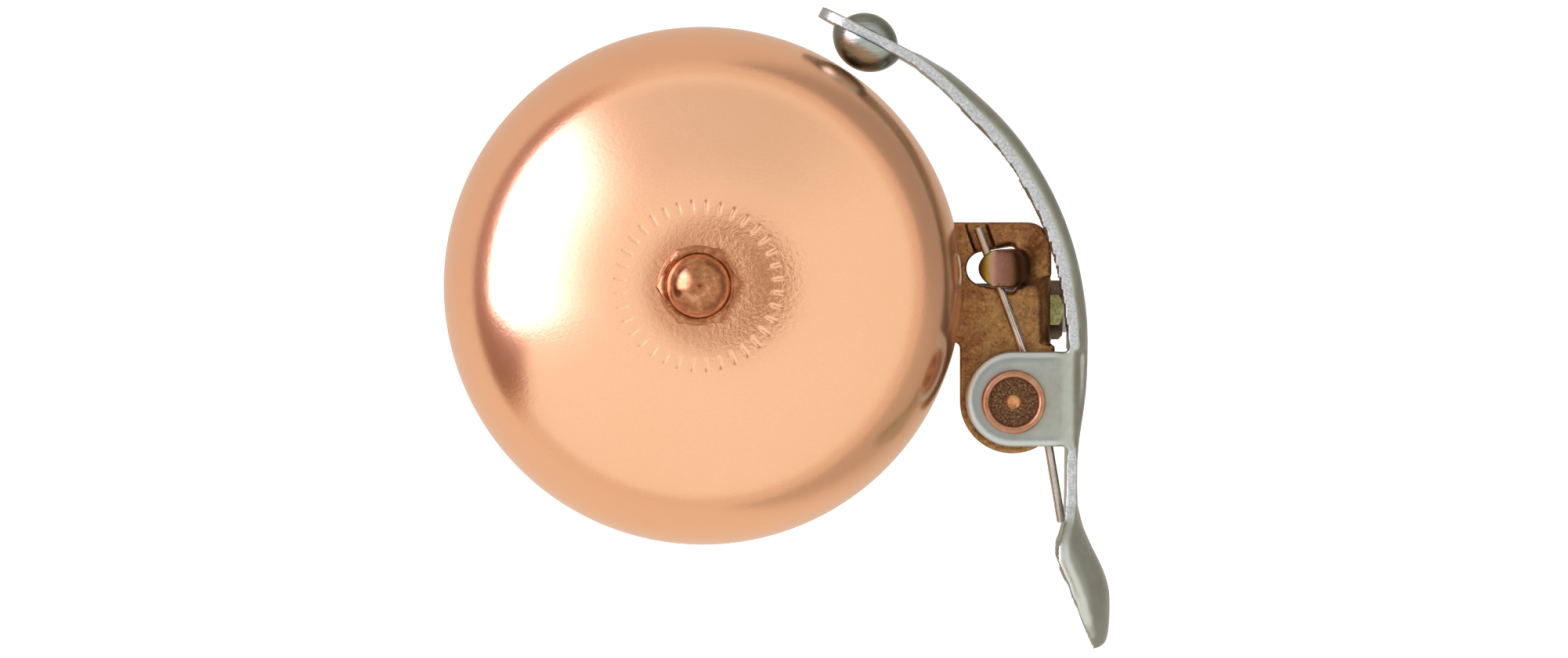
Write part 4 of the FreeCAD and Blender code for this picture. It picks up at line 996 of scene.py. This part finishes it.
def floor_white():
    """Glowing white to the camera; dimmer, warmer and uneven to reflections."""
    material = blank_material("floor_white")
    graph = Graph(material.node_tree)
    output = graph.node("OutputMaterial")
    camera_ray = graph.node("LightPath").outputs["Is Camera Ray"]
    tone = graph.mix(camera_ray, (0.97, 0.88, 0.76), (1, 1, 1))
    base_glow, camera_extra = 0.42, 0.55
    glow = graph.node("Math", {0: camera_ray, 1: camera_extra, 2: base_glow},
                      operation="MULTIPLY_ADD").outputs[0]
    place = graph.xyz(graph.node("TexCoord").outputs["Object"])
    # brighter towards -Y
    near = graph.map(place[1], of=(-0.08, 0.06), to=(0.16, 0.0), kind="SMOOTHSTEP")
    glow = graph.node("Math", {0: glow, 1: near}, operation="ADD").outputs[0]
    # the +X side stands in shade, except to the camera
    shade = graph.map(place[0], of=(0.0, 0.06), to=(0.0, -0.34), kind="SMOOTHSTEP")
    unseen = graph.node("Math", {0: 1.0, 1: camera_ray}, operation="SUBTRACT").outputs[0]
    glow = graph.node("Math", {0: shade, 1: unseen, 2: glow},
                      operation="MULTIPLY_ADD").outputs[0]
    emission = graph.node("Emission", {"Color": tone, "Strength": glow})
    diffuse = graph.node("BsdfDiffuse", {"Color": (0.23, 0.21, 0.18)})
    sheet = graph.node("AddShader", {0: emission.outputs[0], 1: diffuse.outputs[0]})
    # past the table edge towards -X, reflections see the room and not the sheet
    edge = graph.step(place[0], -0.33, -0.25)
    seen = graph.node("Math", {0: edge, 1: camera_ray}, operation="MAXIMUM").outputs[0]
    clear = graph.node("BsdfTransparent")
    surface = graph.node("MixShader", {0: seen, 1: clear.outputs[0], 2: sheet.outputs[0]})
    graph.put(output.inputs["Surface"], surface.outputs[0])
    return material


def build_floor():
    mesh = bpy.data.meshes.new("floor")
    corners = [(x * FLOOR_HALF, y * FLOOR_HALF, 0)
               for x, y in ((-1, -1), (1, -1), (1, 1), (-1, 1))]
    mesh.from_pydata(corners, [], [(0, 1, 2, 3)])
    mesh.materials.append(floor_white())
    floor = bpy.data.objects.new("floor", mesh)
    COLLECTION.objects.link(floor)
    floor.location = (0, 0, CAD_BOX[0][2] - FLOOR_GAP)


build_floor()


# ------------------------------------------------------------------- the room
def build_room():
    """Pale walls and one broad soft light towards -X; angles are in degrees."""
    world = bpy.data.worlds.new("studio")
    bpy.context.scene.world = world
    world.use_nodes = True
    room = Graph(world.node_tree)
    background = world.node_tree.nodes["Background"]
    x, y, z = room.xyz(room.node("TexCoord").outputs["Generated"])
    minus, step, product = (lambda a, b: room.math("SUBTRACT", a, b)), room.step, room.product
    degrees = 180.0 / math.pi
    elevation = product(room.math("ARCSINE", z), degrees)
    # azimuth runs from +X through +Y, 0 to 360
    azimuth = product(room.math("ARCTAN2", y, x), degrees)
    azimuth = room.total(azimuth, product(room.math("LESS_THAN", azimuth, 0.0), 360.0))
    # the light's edge leans by up to 8 degrees between elevations 8 and 30
    lean = room.math("DIVIDE", minus(elevation, 8.0), 22.0, clamp=True)
    leaning = minus(azimuth, product(lean, 8.0))
    # broad light from the table up, fading upwards
    softbox = product(product(step(azimuth, 118, 150), step(leaning, 187.5, 184)),
                      product(step(elevation, 6.0, 10.5), step(elevation, 72, 27)))
    # dark gap along the table edge, deepest below the light
    below_light = product(step(azimuth, 105, 140), step(azimuth, 218, 205))
    gap = product(step(elevation, 10.0, 6.0), room.total(0.22, product(0.78, below_light)))
    # dark stand next to the light, with a sloping top
    stand_top = minus(46.0, product(minus(azimuth, 191.0), 1.45))
    stand = product(step(leaning, 183.5, 186), step(azimuth, 217, 206),
                    room.invert(step(minus(elevation, stand_top), -8, 6)))
    # the +Y side of the room is a little darker
    far = product(step(azimuth, 20, 70), step(azimuth, 150, 110),
                  step(elevation, 84, 55), step(elevation, 5, 25))
    # dark round rig overhead, tilted from straight up towards +X; 0.012 nudges it towards +Y
    tilt = math.radians(6.0)
    towards_rig = room.total(product(x, math.sin(tilt)), product(z, math.cos(tilt)),
                             product(y, 0.012))
    rig = step(towards_rig, math.cos(math.radians(11.0)), math.cos(math.radians(5.5)))

    wall_level, far_dimming, softbox_level, dark_level = 1.01, 0.24, 4.4, 0.20
    gap_depth, stand_depth, rig_depth = 0.97, 1.0, 0.90
    level = minus(wall_level, product(far, far_dimming))
    level = room.total(level, product(softbox, softbox_level))
    dark = room.math("MAXIMUM", product(gap, gap_depth), product(stand, stand_depth))
    dark = room.math("MAXIMUM", dark, product(rig, rig_depth))
    level = room.total(product(level, room.invert(dark)), product(dark, dark_level))
    # off-white walls, a violet light and warm darks
    tint = room.mix(room.math("MULTIPLY", softbox, 3.0, clamp=True),
                    (1.0, 0.99, 0.975), (1.0, 0.93, 1.24))
    tint = room.mix(dark, tint, (1.0, 0.42, 0.13))
    room.put(background.inputs["Color"], tint)
    room.put(background.inputs["Strength"], level)
    # seen straight on, the room is plain white
    camera_ray = room.node("LightPath").outputs["Is Camera Ray"]
    plain = room.node("Background", {"Color": (1, 1, 1), "Strength": 1.0})
    surface = room.node("MixShader",
                        {0: camera_ray, 1: background.outputs[0], 2: plain.outputs[0]})
    room.put(world.node_tree.nodes["World Output"].inputs["Surface"], surface.outputs[0])


build_room()

# ----------------------------------------------------------------- the camera
CAMERA_HEIGHT = 0.700            # above the rim
VIEW_WIDTH = 3.0434782609        # width seen at rim height, in dome widths


def build_camera():
    camera = bpy.data.cameras.new("camera")
    camera.sensor_width = 36.0
    camera.lens = camera.sensor_width * CAMERA_HEIGHT / (VIEW_WIDTH * DOME_WIDTH)
    camera.shift_x = -0.039460539
    camera.shift_y = -0.02997003
    camera.clip_start = 0.01
    camera.clip_end = 20
    holder = bpy.data.objects.new("camera", camera)
    COLLECTION.objects.link(holder)
    holder.location = (DOME.x * MM + 0.0152, DOME.y * MM + 0.0004, DOME_LOW.z + CAMERA_HEIGHT)
    bpy.context.scene.camera = holder
    bpy.context.scene.view_settings.view_transform = "Standard"


build_camera()
